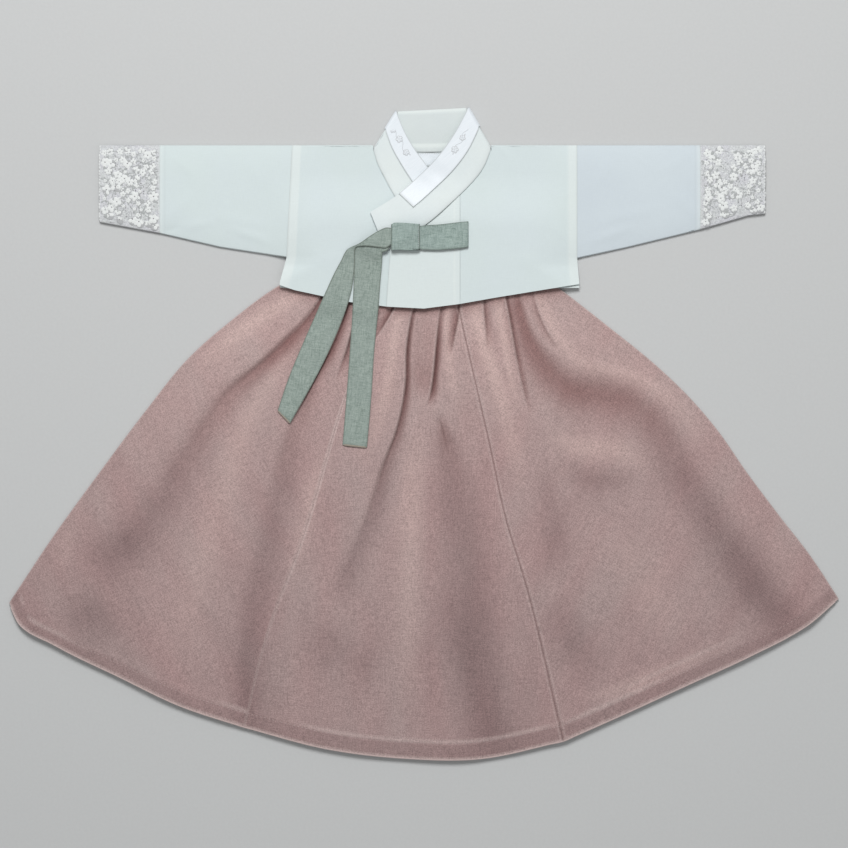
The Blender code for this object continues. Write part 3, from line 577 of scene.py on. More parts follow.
def tubes(name, paths, radius, sides=6, flat=1.0):
    """Round threads along paths of points, with closed ends. Flat squashes them upwards."""
    angles = np.linspace(0, 2 * np.pi, sides, endpoint=False)
    points, faces = [], []
    for path in paths:
        run = unit(np.gradient(path, axis=0))
        aside = unit(np.cross(run, [0, 0, 1.0]))
        up = np.cross(aside, run)
        size = np.full(len(path), radius)
        size[[0, -1]] *= 0.45
        ring = (aside[:, None] * np.cos(angles)[None, :, None]
                + flat * up[:, None] * np.sin(angles)[None, :, None])
        index, after = ring_index(len(path), sides, sum(len(part) for part in points))
        points.append((path[:, None] + ring * size[:, None, None]).reshape(-1, 3))
        faces += quads(index[:-1], after[:-1], after[1:], index[1:])
        faces += [index[0, ::-1].tolist(), index[-1].tolist()]
    return new_piece(name, np.concatenate(points), faces, sharp=1.2)


def stitched(name, lines, top, lifts, radius, sides, material, slot):
    """A row of stitches on a surface, with each point of a stitch lifted off it by so much."""
    paths = [raised(spots, top(spots) + np.array(lifts)) for spots in lines]
    return dress(tubes(name, paths, radius, sides), material, slot)


def dress(piece, material, slot, *nodes):
    """Gives a piece its material and body, and hides the solids that it stands for."""
    piece.data.materials.append(material)
    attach(piece, "root")
    if nodes:
        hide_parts(*nodes)
    return piece


def cloth(held, grid, present=None, ring=False, rests_on=()):
    """Works out a sheet's flat size and flat area from its grid, and keeps neither."""
    if ring:
        grid = np.concatenate([grid, grid[:, :1]], axis=1)
    a, b, c, d = grid[:-1, :-1], grid[1:, :-1], grid[1:, 1:], grid[:-1, 1:]
    cells = np.linalg.norm(np.cross(c - a, d - b), axis=-1) / 2
    if present is not None:
        cells = cells * present
    across, down = (np.linalg.norm(np.diff(grid, axis=axis), axis=-1).sum(axis=axis).max()
                    for axis in (1, 0))
    list(rests_on)


def sewn(name, node, material, slot, held, grids, rests_on=(), present=None, ring=False,
         **layers):
    """A sheet of cloth between two grids, in place of its solid."""
    piece = dress(shell(name, *grids, present, ring, **layers), material, slot, node)
    cloth(held, grids[0], present, ring, rests_on)


# Curves and marks


def ease(value):
    """A smooth step from 0 to 1."""
    value = np.clip(value, 0.0, 1.0)
    return value * value * (3.0 - 2.0 * value)


def bell(distance, width):
    """1 at no distance, and close to 0 from twice the width."""
    return np.exp(-((distance / width) ** 2))


def line_mark(distance, at, half_width):
    """1 along a line at a distance, falling to 0 past its half width."""
    return 1 - ease((np.abs(distance - at) - half_width * 0.5) / half_width)


def looked_up(table, at):
    """A table's second column, where its first is at the given values."""
    return np.interp(at, *np.array(table, float).T)


def unit(vectors):
    return vectors / np.linalg.norm(vectors, axis=-1, keepdims=True)


def between(start, end, rise, fall, t):
    """Points of a smooth curve between two points, from its slopes at them."""
    return (
        start * (1 + 2 * t) * (1 - t) ** 2
        + end * t * t * (3 - 2 * t)
        + rise * t * (1 - t) ** 2
        - fall * t * t * (1 - t)
    )


def spline(points, shares):
    """Points of a smooth curve through the given ones, at shares of its length."""
    knots = np.array(points, float)
    steps = np.linalg.norm(np.diff(knots[:, :2], axis=0), axis=1)
    at = np.concatenate([[0.0], np.cumsum(steps)])
    slopes = np.gradient(knots, at, axis=0)
    reach = np.clip(np.asarray(shares, float), 0, 1) * at[-1]
    span = np.clip(np.searchsorted(at, reach) - 1, 0, len(at) - 2)
    width = (at[span + 1] - at[span])[:, None]
    t = (reach[:, None] - at[span][:, None]) / width
    return between(knots[span], knots[span + 1], slopes[span] * width,
                   slopes[span + 1] * width, t)


def curve(points, count):
    """As many points, evenly spaced along a smooth curve through the given ones."""
    return spline(points, np.linspace(0, 1, count))


def refined(grid, times):
    """A grid with smooth rows put between its rows."""
    at = np.linspace(0, len(grid) - 1, (len(grid) - 1) * times + 1)
    low = np.clip(at.astype(int), 0, len(grid) - 2)
    t = (at - low).reshape(-1, *[1] * (grid.ndim - 1))
    slopes = np.gradient(grid, axis=0)
    return between(grid[low], grid[low + 1], slopes[low], slopes[low + 1], t)


def refined_both(grid, rows, columns):
    return refined(refined(grid, rows).swapaxes(0, 1), columns).swapaxes(0, 1)


def distance_along(plan, path):
    """Each plan point's distance from a path, how far along it, as a share, and its side.

    The side is -1 or 1: going down a path, 1 is towards +X.
    """
    best = np.full(plan.shape[:-1], np.inf)
    share = np.zeros(plan.shape[:-1])
    side = np.ones(plan.shape[:-1])
    count = len(path) - 1
    for index in range(count):
        start = path[index]
        run = path[index + 1] - start
        offset = plan - start
        t = np.clip((offset @ run) / (run @ run), 0, 1)
        distance = np.linalg.norm(offset - t[..., None] * run, axis=-1)
        turn = np.sign(run[0] * offset[..., 1] - run[1] * offset[..., 0])
        nearer = distance < best
        best = np.where(nearer, distance, best)
        share = np.where(nearer, (index + t) / count, share)
        side = np.where(nearer, turn, side)
    return best, share, side


def nearest(plan, *paths):
    """Each plan point's distance from the nearest of some paths."""
    return np.minimum.reduce([distance_along(plan, path)[0] for path in paths])


def undulation(plan, seed, size, count=9):
    """Uneven low waves, mostly from -1 to 1, about the given size across."""
    random = np.random.default_rng(seed)
    height = np.zeros(plan.shape[:-1])
    for _ in range(count):
        turn, phase = random.uniform(0, 2 * np.pi, 2)
        length = size * random.uniform(0.7, 1.9)
        run = plan[..., 0] * np.cos(turn) + plan[..., 1] * np.sin(turn)
        height += np.sin(2 * np.pi * run / length + phase)
    return height / count ** 0.5


# Heights of what each piece lies on


def along_fold(plan, stations):
    """Which points are near a fold, and their distance, side, width, share and painted shade
    there.
    """
    path = curve(stations, 4 * len(stations))
    path[:, 2] = np.maximum(path[:, 2], 2.0)
    path[:, 3:] = np.clip(path[:, 3:], 0, 1)
    low, high = path[:, :2].min(axis=0), path[:, :2].max(axis=0)
    reach = (high - low) / 2 + 4 * path[:, 2].max()
    near = np.all(np.abs(plan - (low + high) / 2) < reach, axis=-1)
    distance, share, side = distance_along(plan[near], path[:, :2])
    at = np.linspace(0, 1, len(path))
    return near, distance, side, *(np.interp(share, at, path[:, k]) for k in (2, 3, 4))


def fold_marks(plan, high_side, stations):
    """How far each point dips into a fold, its painted shade, a painted highlight along its
    pressed edge and painted shade in its crease.
    """
    near, distance, side, width, share, tone = along_fold(plan, stations)
    widths, steep_shares, reach_shares = np.array(FOLD_SLOPES).T
    high = side * high_side > 0
    steep = np.maximum(width * np.interp(width, widths, steep_shares), NEAR_LEAST)
    reach = width * np.interp(width, widths, reach_shares)
    narrow = tone * ease((NARROW - width) / 3.5)
    marks = np.zeros((4, *plan.shape[:-1]))
    marks[:, near] = [
        share * bell(distance, np.where(high, steep, width)),
        tone * bell(distance, np.where(high, steep, reach)),
        narrow * high * bell(distance - PRESSED_EDGE, 1.0),
        narrow * bell(distance, np.where(high, 0.7, 1.5)),
    ]
    return marks


def skirt_relief(plan):
    """The outside of the skirt's front, its folds' painted shade, painted highlight and painted
    crease shade, and its paleness.
    """
    edge = nearest(plan, np.array(RIGHT_FOLD, float), np.array(LEFT_FOLD, float))
    rise = looked_up(SKIRT_CRESTS, plan[..., 1]) - FOLD_HEIGHT
    rise = rise * ease(edge / SKIRT_EASE)
    marks = np.zeros((3, *plan.shape[:-1]))
    for high_side, stations in FOLDS:
        dip, *others = fold_marks(plan, high_side, stations)
        rise = rise * (1 - dip)
        marks = np.maximum(marks, others)
    pale = np.zeros(plan.shape[:-1])
    clear = ease((128 - plan[..., 1]) / 30) * ease(edge / 25)
    for stations in RIDGES:
        near, distance, _, width, height, paleness = along_fold(plan, stations)
        shape = bell(distance, width)
        rise[near] += height * shape * clear[near]
        pale[near] = np.maximum(pale[near], paleness * shape)
    rise = rise + ease((edge - 10) / 50) * SKIRT_RIPPLE * (undulation(plan, 3, 75) - 1)
    return FOLD_HEIGHT + np.maximum(rise, 0), *marks, pale


def skirt_top(plan):
    return skirt_relief(plan)[0]


def creases(plan):
    """Soft ridges pressed into the jacket, each fading out to its ends."""
    height = np.zeros(plan.shape[:-1])
    for x0, y0, x1, y1, width, rise in CREASES:
        distance, share, _ = distance_along(plan, np.array([(x0, y0), (x1, y1)], float))
        height += rise * np.sin(np.pi * share) * bell(distance, width)
    return height + JACKET_RIPPLE * (undulation(plan, 11, 95) + 1)


def fold_x(fold, y):
    """X of one of the skirt's side folds."""
    x_values, y_values = np.array(fold, float).T
    return np.interp(-y, -y_values, x_values)


def support(plan):
    """What the jacket's back lies on: the skirt under it, falling to the surface around it."""
    x, y = plan[..., 0], plan[..., 1]
    beside = np.maximum(np.maximum(fold_x(RIGHT_FOLD, y) - x, x - fold_x(LEFT_FOLD, y)), 0)
    above = np.maximum(y - BAND_TOP, 0)
    return SUPPORT * (1 - ease(beside / SUPPORT_FADE)) * (1 - ease(above / SUPPORT_FADE))


def lifted_support(plan):
    return support(plan) + UNDERSIDE


def floor(plan):
    return np.full(plan.shape[:-1], UNDERSIDE)


def back_top(plan):
    return support(plan) + JACKET_WALL


def ease_of_front(plan):
    """How far the front stands off the back: most along the middle of the sleeves."""
    x, y = plan[..., 0], plan[..., 1]
    lower = np.where(x < CENTRE, looked_up(RIGHT_SLEEVE, x), looked_up(LEFT_SLEEVE, x))
    height = np.clip((y - lower) / (SHOULDER - lower), 0, 1)
    across = 1 - (2 * height - 1) ** 4
    inside = np.minimum(x - BODY_RIGHT, BODY_LEFT - x)
    return LAYER_GAP + FRONT_EASE * across * (1 - ease(inside / SLEEVE_FADE))


def under_top(plan):
    """The outside of the jacket's front where it is one layer thick."""
    return back_top(plan) + ease_of_front(plan) + JACKET_WALL + creases(plan)


def over_top(plan):
    """The outside of the left front, which crosses over the right one."""
    crossing = 1 - ease((plan[..., 0] - UNDERLAP - UNDERLAP_CLEAR) / UNDERLAP_FADE)
    return under_top(plan) + crossing * (LAYER_GAP + JACKET_WALL)


def collar_cover(plan, rows):
    """1 over a stretch of collar, fading to 0 beside it."""
    rows = np.array(rows, float)
    distance = nearest(plan, (rows[:, :2] + rows[:, 2:4]) / 2)
    return 1 - ease((distance - COLLAR_HALF) / COLLAR_FADE)


def over_collar_base(plan):
    """What the upper collar lies on: the left front, and the under collar near the crossing."""
    return over_top(plan) + COLLAR_GAP + UNDER_LIFT * collar_cover(plan, UNDER_COLLAR)


def ribbon_base(plan):
    """What the ribbon lies on: collar, jacket, and below the jacket's hem the skirt."""
    x, y = plan[..., 0], plan[..., 1]
    over = ease((x - STEP_X) / STEP_WIDTH)
    jacket = under_top(plan) * (1 - over) + over_top(plan) * over
    beside = (LAYER_GAP + JACKET_WALL) * (1 - over)
    under = UNDER_LIFT * collar_cover(plan, UNDER_COLLAR)
    cover = collar_cover(plan, OVER_COLLAR)
    jacket = jacket + cover * (COLLAR_WALL + COLLAR_GAP + beside + under)
    above = 1 - ease((looked_up(JACKET_HEM, x) - HEM_CLEAR - y) / HEM_DROP)
    skirt = np.maximum.reduce([
        skirt_top(plan + np.array(step, float) * BRIDGE)
        for step in ((0, 0), (1, 0), (-1, 0), (0, 1), (0, -1))
    ])
    return skirt * (1 - above) + np.maximum(jacket, skirt) * above


# Sheets between an outer and an inner grid


def raised(plan, height):
    """Plan points with their heights."""
    return np.concatenate([plan, height[..., None]], axis=-1)


def sheet(plan, top, wall):
    """Outer and inner grids of one layer, whose outer side is at the given height."""
    return raised(plan, top), raised(plan, top - wall)


def strip_plan(ends, across):
    """Plan points across a strip, from one long edge to the other, in each of its rows."""
    return ends[:, None, :2] * (1 - across) + ends[:, None, 2:4] * across


def nose(tip, inward, low, high, wall):
    """Outer and inner points round a fold, from its lower side up to its upper side."""
    angles = np.radians(np.linspace(-90, 90, FOLD_STEPS + 1))
    radius = ((high - low) / 2)[:, None]
    middle = ((high + low) / 2)[:, None]
    grids = []
    for size in (radius, radius - wall):
        reach = radius - size * np.cos(angles)
        plan = tip[:, None] + inward[:, None] * reach[..., None]
        grids.append(raised(plan, middle + size * np.sin(angles)))
    return grids


def folded(low_plan, high_plan, bottom, top, wall, ring=False):
    """Outer and inner grids of cloth folded at the start of its rows: under side, fold, top.

    As a ring it is folded at both ends of its rows, into a flattened tube.
    """
    turns = []
    for tip, ahead in ((0, 1), (-1, -2)) if ring else ((0, 1),):
        start = low_plan[:, tip]
        inward = unit(high_plan[:, ahead] - start)
        near = start + inward * FOLD_REACH
        turns.append(nose(start, inward, bottom(near), top(near), wall))
    low = low_plan[:, -2 if ring else None:0:-1]
    high = high_plan[:, 1:-1 if ring else None]
    low_z, high_z = bottom(low), top(high)
    grids = []
    for side, inset in enumerate((0, wall)):
        parts = [raised(low, low_z + inset), turns[0][side], raised(high, high_z - inset)]
        parts += [turn[side][:, ::-1] for turn in turns[1:]]
        grids.append(np.concatenate(parts, axis=1))
    return grids


def thickened(middle, wall):
    """Outer and inner grids at half a wall on either side of a curved middle surface."""
    normal = unit(np.cross(np.gradient(middle, axis=0), np.gradient(middle, axis=1)))
    return middle + normal * wall / 2, middle - normal * wall / 2


# Materials


def start_material(name, roughness, sheen=0.0, specular=0.5):
    material = bpy.data.materials.new(name)
    material.use_nodes = True
    tree = material.node_tree
    shader = tree.nodes["Principled BSDF"]
    for socket, value in (("Roughness", roughness), ("Sheen Weight", sheen),
                          ("Sheen Roughness", 0.45), ("Specular IOR Level", specular)):
        shader.inputs[socket].default_value = value
    return material, tree, shader


def coloured(material, colour, height=None, distance=0.0, strength=1.0):
    """Gives a material its colour, and a relief of a height in millimetres."""
    tree = material.node_tree
    shader = tree.nodes["Principled BSDF"]
    tree.links.new(colour, shader.inputs["Base Color"])
    if height is not None:
        normal = add(tree, "Bump", Height=height, Distance=distance * MM, Strength=strength)
        tree.links.new(normal, shader.inputs["Normal"])
    return material


def add(tree, kind, out=0, settings=None, **inputs):
    """A node's output. Inputs are values or other outputs, by socket name or as in_0, in_1."""
    node = tree.nodes.new("ShaderNode" + kind)
    for setting, value in (settings or {}).items():
        setattr(node, setting, value)
    for socket, value in inputs.items():
        at = int(socket[3:]) if socket.startswith("in_") else socket.replace("_", " ")
        if isinstance(value, bpy.types.NodeSocket):
            tree.links.new(value, node.inputs[at])
        else:
            node.inputs[at].default_value = value
    return node.outputs[out]


def maths(tree, operation, first, second=0.0):
    return add(tree, "Math", settings={"operation": operation}, in_0=first, in_1=second)


def vectors(tree, operation, first, **second):
    return add(tree, "VectorMath", settings={"operation": operation}, in_0=first, **second)


def blend(tree, *parts):
    """The sum of two values, each times its share."""
    return maths(tree, "ADD", *(maths(tree, "MULTIPLY", value, share) for value, share in parts))


def mixed(tree, share, first, second):
    """A colour between two."""
    first, second = ((*colour, 1) if isinstance(colour, tuple) else colour
                     for colour in (first, second))
    return add(tree, "Mix", out=2, settings={"data_type": "RGBA"}, in_0=share, in_6=first,
               in_7=second)


def layer_of(tree, name):
    return add(tree, "Attribute", out="Fac", settings={"attribute_name": name})


def painted(tree, base, *coats):
    """Colours laid over a base, each as strongly as a value or a layer, times a share."""
    for value, share, colour in coats:
        value = layer_of(tree, value) if isinstance(value, str) else value
        base = mixed(tree, maths(tree, "MULTIPLY", value, share), base, colour)
    return base


def ranged(tree, value, low, high, start=0.0, end=1.0, kind="LINEAR"):
    """Start to end while a value goes from low to high."""
    return add(tree, "MapRange", settings={"interpolation_type": kind}, in_0=value, in_1=low,
               in_2=high, in_3=start, in_4=end)


def shaded(tree, base, value, low, high, dark, bright):
    """A colour made darker where a value is low, and brighter where it is high."""
    return vectors(tree, "SCALE", base, Scale=ranged(tree, value, low, high, dark, bright))


def in_mm(tree, turn=0.0, stretch=(1.0, 1.0, 1.0)):
    """The piece's own coordinates in millimetres, turned about +Z and stretched."""
    place = add(tree, "TexCoord", out="Object")
    turned = add(tree, "Mapping", Vector=place, Rotation=(0, 0, turn))
    return vectors(tree, "MULTIPLY", turned, in_1=tuple(1 / MM / value for value in stretch))


def noise(tree, turn, stretch, size, detail, roughness):
    return add(tree, "TexNoise", Vector=in_mm(tree, turn, stretch), Scale=1.0 / size,
               Detail=detail, Roughness=roughness)


def contrast(tree, value, gain):
    """A value about 0.5 spread out by a gain, kept from 0 to 1."""
    return ranged(tree, value, 0.5 - 0.5 / gain, 0.5 + 0.5 / gain)


def clouds(tree, turn, size, gain, detail=2.0, roughness=0.5, stretch=(1.0, 1.0, 1.0)):
    """Uneven patches about a size across, from 0 to 1."""
    return contrast(tree, noise(tree, turn, stretch, size, detail, roughness), gain)


def slubs(tree, turn, across, down, length, gain):
    """Slubs of a plain weave, from 0 to 1: threads both ways, of these widths and length."""
    warp, weft = (noise(tree, turn, stretch, 1.0, 2.0, 0.6)
                  for stretch in ((across, length, across), (length, down, down)))
    return contrast(tree, maths(tree, "MULTIPLY", maths(tree, "ADD", warp, weft), 0.5), gain)


def plain_weave(tree, turn, pitch):
    """The height of threads over and under each other, from -1 to 1."""
    split = tree.nodes.new("ShaderNodeSeparateXYZ")
    tree.links.new(in_mm(tree, turn), split.inputs[0])
    waves = [maths(tree, "SINE", maths(tree, "MULTIPLY", split.outputs[k], np.pi / pitch))
             for k in (0, 1)]
    return maths(tree, "MULTIPLY", *waves)


def skirt_material(name, turn):
    """Sheer crisp pink cloth over its lining, with painted shade, rosier and deeper, in its folds,
    and painted highlights.
    """
    material, tree, shader = start_material(name, 0.66, sheen=0.18, specular=0.25)
    shader.inputs["Sheen Tint"].default_value = (1.0, 0.84, 0.79, 1.0)
    weave = blend(tree, (slubs(tree, turn, 1.3, 1.1, 9.0, 3.4), 0.36),
                  (clouds(tree, turn, 1.3, 3.0, 3.0, 0.7), 0.64))
    cloud = clouds(tree, turn, 52.0, 2.4, stretch=(1.0, 2.8, 1.0))
    patches = clouds(tree, turn, 21.0, 2.0, detail=1.0, stretch=(1.0, 3.4, 1.0))
    # How deep the painted shade is, with uneven patches of the cloth's own
    depth = blend(tree, (layer_of(tree, "tone"), 1.0),
                  (maths(tree, "SUBTRACT", patches, 0.5), 0.16))
    shade_colour = mixed(tree, layer_of(tree, "warm"), SKIRT_SHADE, SKIRT_WARM_SHADE)
    base = painted(tree, mixed(tree, cloud, SKIRT_GREY, SKIRT_ROSE), ("pale", 0.7, SKIRT_PALE),
                   (depth, 0.8, shade_colour), ("hem", 0.6, SKIRT_HEM), ("light", 0.75, SKIRT_RIM_AND_HIGHLIGHT),
                   ("dark", 0.85, SKIRT_SEAM_AND_SHADE))
    height = blend(tree, (weave, 1.0), (plain_weave(tree, turn, 0.45), 0.25))
    return coloured(material, shaded(tree, base, weave, 0.15, 0.85, 0.72, 1.30), height, 0.16, 0.7)


def white_material(name, turn, colour, rough=0.75):
    """Crisp white cloth with a fine even weave."""
    material, tree, _ = start_material(name, rough, sheen=0.15, specular=0.3)
    fine = slubs(tree, turn, 0.7, 0.7, 7.0, 2.0)
    cloud = maths(tree, "MULTIPLY", clouds(tree, turn, 70.0, 2.0), 0.6)
    # Paler seam allowances and a painted highlight on the collar's fold behind the neck; painted
    # shade along edges and seams, and the collar's dark stitching line
    base = painted(tree, mixed(tree, cloud, colour, WHITE_COOL), ("light", 1.0, WHITE_SEAM_AND_HIGHLIGHT),
                   ("dark", 1.0, WHITE_SHADE))
    height = blend(tree, (fine, 1.0), (plain_weave(tree, turn, 0.35), 0.3))
    return coloured(material, shaded(tree, base, fine, 0.0, 1.0, 0.965, 1.03), height, 0.08, 0.5)


def satin_material(name, turn):
    """White satin: fine threads one way, with a soft gloss."""
    material, tree, shader = start_material(name, 0.42, sheen=0.1, specular=0.4)
    shader.inputs["Anisotropic"].default_value = 0.5
    fine = clouds(tree, turn, 1.0, 1.8, detail=1.0, stretch=(0.35, 12.0, 0.35))
    base = painted(tree, mixed(tree, fine, SATIN_LOW, SATIN_HIGH), ("dark", 1.0, WHITE_SHADE))
    return coloured(material, base, fine, 0.03, 0.5)


def ribbon_material(name, turn, tint=(1.0, 1.0, 1.0)):
    """Sage cloth of uneven threads, heathered, with painted shade along its turned edges."""
    material, tree, _ = start_material(name, 0.8, sheen=0.2, specular=0.25)
    weave = blend(tree, (slubs(tree, turn, 1.1, 1.0, 9.0, 3.4), 0.62),
                  (clouds(tree, turn, 1.2, 3.0, 3.0, 0.7), 0.38))
    base = painted(tree, mixed(tree, weave, SAGE_LOW, SAGE_HIGH),
                   (clouds(tree, turn, 22.0, 2.0), 0.35, SAGE_GREY), ("edge", 0.65, SAGE_EDGE_SHADE))
    height = blend(tree, (weave, 1.0), (plain_weave(tree, turn, 0.5), 0.3))
    return coloured(material, vectors(tree, "MULTIPLY", base, in_1=tint), height, 0.2, 0.8)


def lace_ground_material(name):
    """Fine net over a lilac-grey ground, closed up white along the seam."""
    material, tree, _ = start_material(name, 0.85, sheen=0.1, specular=0.2)
    cells = add(tree, "TexVoronoi", settings={"feature": "DISTANCE_TO_EDGE"}, out="Distance",
                Vector=in_mm(tree), Scale=1 / LACE_CELL)
    net = ranged(tree, cells, 0.06, 0.2, 1.0, 0.0, "SMOOTHSTEP")
    fill = clouds(tree, 0.0, 1.9, 4.0, 3.0, 0.6)
    base = painted(tree, mixed(tree, clouds(tree, 0.0, 14.0, 2.6), LACE_LILAC, LACE_GREEN),
                   (fill, 0.55, LACE_DARK), (net, 0.5, LACE_WHITE), ("light", 1.0, WHITE_SEAM_AND_HIGHLIGHT))
    return coloured(material, base, maths(tree, "ADD", net, fill), 0.25, 0.8)


def thread_material(name, colour, rough=0.6, sheen=0.3):
    """Embroidery thread: fine ridges that run unevenly."""
    material, tree, _ = start_material(name, rough, sheen=sheen, specular=0.4)
    ridges = clouds(tree, 0.5, 1.0, 2.2, detail=1.0, stretch=(0.3, 1.6, 0.3))
    low = tuple(value * 0.84 for value in colour)
    return coloured(material, mixed(tree, ridges, low, colour), ridges, 0.12, 0.8)


# The skirt


def patch(top, hem, right, left, rows, columns):
    """Plan points of a panel inside its four edges: rows go down it, columns across."""
    head, foot = spline(top, columns), spline(hem, columns)
    first, last = spline(right, rows), spline(left, rows)
    u = np.array(columns, float)[None, :, None]
    v = np.array(rows, float)[:, None, None]
    corners = (
        (1 - u) * (1 - v) * head[0]
        + u * (1 - v) * head[-1]
        + (1 - u) * v * foot[0]
        + u * v * foot[-1]
    )
    return (1 - v) * head + v * foot + (1 - u) * first[:, None] + u * last[:, None] - corners


def shifted(points, step):
    return [(x + step, y) for x, y in points]


def skirt_rows(count):
    """Shares of the way from the band to the hem, closer together at the band."""
    return np.linspace(0, 1, count) ** SKIRT_ROW_POWER


def skirt_side(fold, seam, hem, side, columns):
    seam = shifted(seam, side * SEAM / 2)
    hem = list(hem) if side < 0 else hem[::-1]
    hem[-1] = seam[-1]
    return patch([fold[0], seam[0]], hem, fold, seam, skirt_rows(SIDE_ROWS), columns)


def skirt_middle(rows, columns):
    right, left = shifted(RIGHT_SEAM, SEAM / 2), shifted(LEFT_SEAM, -SEAM / 2)
    hem = [right[-1], *FRONT_HEM[1:-1], left[-1]]
    return patch([right[0], left[0]], hem, right, left, skirt_rows(rows),
                 np.linspace(0, 1, columns))


def hem_path():
    parts = [curve(hem, 24) for hem in (RIGHT_HEM, FRONT_HEM, LEFT_HEM)]
    return np.concatenate([parts[0], parts[1][1:], parts[2][1:]])


def seam_path(seam):
    return curve(seam, 30)


def tucks(plan):
    """Gathers pressed flat into the skirt's back, fanning out from the band."""
    across = plan[..., 0] / fold_x(LEFT_FOLD, plan[..., 1])
    fan = 9 * across + 0.35 * np.sin(17 * across)
    end = 40 + 35 * np.sin(2.3 * np.round(fan))
    return bell(fan - np.round(fan), 0.1) * ease((plan[..., 1] - end) / 110)


def skirt_layers(plan, above=1.0):
    """The skirt's colour layers, mostly painted shade and painted highlights. Above is 1 on its
    front and 0 on its flat underside.
    """
    x, y = plan[..., 0], plan[..., 1]
    hem = nearest(plan, hem_path())
    right, left = (nearest(plan, seam_path(seam)) for seam in (RIGHT_SEAM, LEFT_SEAM))
    edge = nearest(plan, curve(RIGHT_FOLD, 40), curve(LEFT_FOLD, 40))
    band = looked_up(HEM_BANDS, x)
    below = looked_up(JACKET_HEM, x) - y
    _, tone, light, dark, pale = skirt_relief(plan)
    # Painted shadow under the jacket's hem, and the front darker towards the hem and the right
    # side's tip; on the underside, uneven tone and painted shade along the pressed gathers
    shade = 0.5 * bell(below, 7.0) + 0.2 * (1 - ease(below / 26.0))
    low = 0.14 * ease((-y - 90) / 160)
    low = low + 0.14 * ease((-x - 290) / 80)
    soft = 0.10 * ease(undulation(plan, 8, 220)) + 0.5 * tucks(plan)
    tone = np.clip(above * (np.maximum(tone, shade) + low) + (1 - above) * soft, 0, 1)
    # Painted highlights along the hem, the two seams, the side folds and the pleats' pressed
    # edges, and light lines at the band's top and over it on the left
    light = np.maximum.reduce([
        line_mark(hem, 0, 0.9),
        0.6 * line_mark(hem, band, 0.9),
        0.45 * line_mark(hem, band + 10, 1.0) * ease((90 - np.abs(x - 265)) / 50),
        0.85 * line_mark(right, 0.9, 0.9),
        0.35 * line_mark(left, 2.2, 1.0),
        0.8 * line_mark(edge, 0, 1.1),
        0.9 * above * light,
    ])
    # Dark lines at the two seams, and painted shade in the pleats' creases
    dark = np.maximum.reduce([
        0.45 * line_mark(left, 0, 0.8),
        0.12 * line_mark(right, 0, 0.6),
        above * dark,
    ])
    # Paleness: the ridges' painted highlight, and paler towards the waist
    pale = above * np.clip(pale + 0.3 * ease((y + 60) / 200), 0, 1)
    # warm: where the painted shade takes its warmer colour, higher up the skirt
    return {"tone": tone, "hem": ease((band - hem) / 1.2), "light": light, "dark": dark,
            "pale": pale, "warm": ease((y + 90) / 150)}


def skirt_outside(plan):
    """The skirt's front with its seams and the hem's band, which stand off its cloth."""
    band = looked_up(HEM_BANDS, plan[..., 0])
    height = 0.3 * ease((band - nearest(plan, hem_path())) / 1.5)
    for seam, ridge in ((RIGHT_SEAM, -1), (LEFT_SEAM, 1)):
        distance, _, side = distance_along(plan, seam_path(seam))
        allowance = ease((6.0 - distance) / 1.5) * (side * ridge > 0)
        height = height + 0.22 * allowance - 0.25 * bell(distance, 0.8)
    return skirt_top(plan) + height


def make_skirt(pink, pink_right, pink_left):
    plan = skirt_middle(*FRONT_GRID)
    grids = sheet(plan, skirt_outside(plan), SKIRT_CLOTH)
    front = dress(shell("skirt_front", *grids, **skirt_layers(plan)), pink, "chima_cloth",
                  "chima_front")
    plan = skirt_middle(*BACK_GRID)
    sewn("skirt_back", "chima_back", pink, "chima_cloth", "laid",
         sheet(plan, floor(plan) + SKIRT_CLOTH, SKIRT_CLOTH), **skirt_layers(plan, 0.0))
    cloth("gathered", grids[0], rests_on=["skirt_back"])
    widths = (
        ("right", RIGHT_FOLD, RIGHT_SEAM, RIGHT_HEM, -1, pink_right),
        ("left", LEFT_FOLD, LEFT_SEAM, LEFT_HEM, 1, pink_left),
    )
    for name, fold, seam, hem, side, material in widths:
        low, high = (skirt_side(fold, seam, hem, side, columns)
                     for columns in (SIDE_UNDER, SIDE_OVER))
        grids = folded(low, high, floor, skirt_outside, SKIRT_CLOTH)
        above = ease((grids[0][..., 2] - 0.6) / 1.8)
        sewn(f"skirt_side_{name}", f"chima_side_{name}", material, "chima_cloth", "folded",
             grids, **skirt_layers(grids[0][..., :2], above))
    make_hem()
    make_band(pink)


def make_hem():
    """The hem's rolled edge, and its stitches along the top of the band."""
    random = np.random.default_rng(21)
    path = curve(hem_path(), HEM_STATIONS)
    rim = raised(path, skirt_outside(path) - SKIRT_CLOTH / 2)
    thread = thread_material("hem_thread", SKIRT_RIM_AND_HIGHLIGHT)
    dress(tubes("skirt_hem_edge", [rim[3:-3]], HEM_RIM, 8), thread, "chima_cloth")
    run = unit(np.gradient(path, axis=0))
    inward = np.stack([-run[:, 1], run[:, 0]], axis=1)
    line = path + inward * (looked_up(HEM_BANDS, path[:, 0])[:, None] - 1.6)
    steps = np.concatenate([[0], np.cumsum(np.linalg.norm(np.diff(line, axis=0), axis=1))])
    stitches = []
    for start in np.arange(HEM_END, steps[-1] - HEM_END, HEM_STITCH):
        at = start + random.uniform(-0.3, 0.3) + np.array([0, 0.7, 1.5, 2.2])
        stitches.append(np.stack([np.interp(at, steps, line[:, k]) for k in (0, 1)], axis=1))
    stitched("skirt_hem_stitches", stitches, skirt_outside, [-0.1, 0.14, 0.14, -0.1], 0.24, 5,
             thread, "chima_cloth")


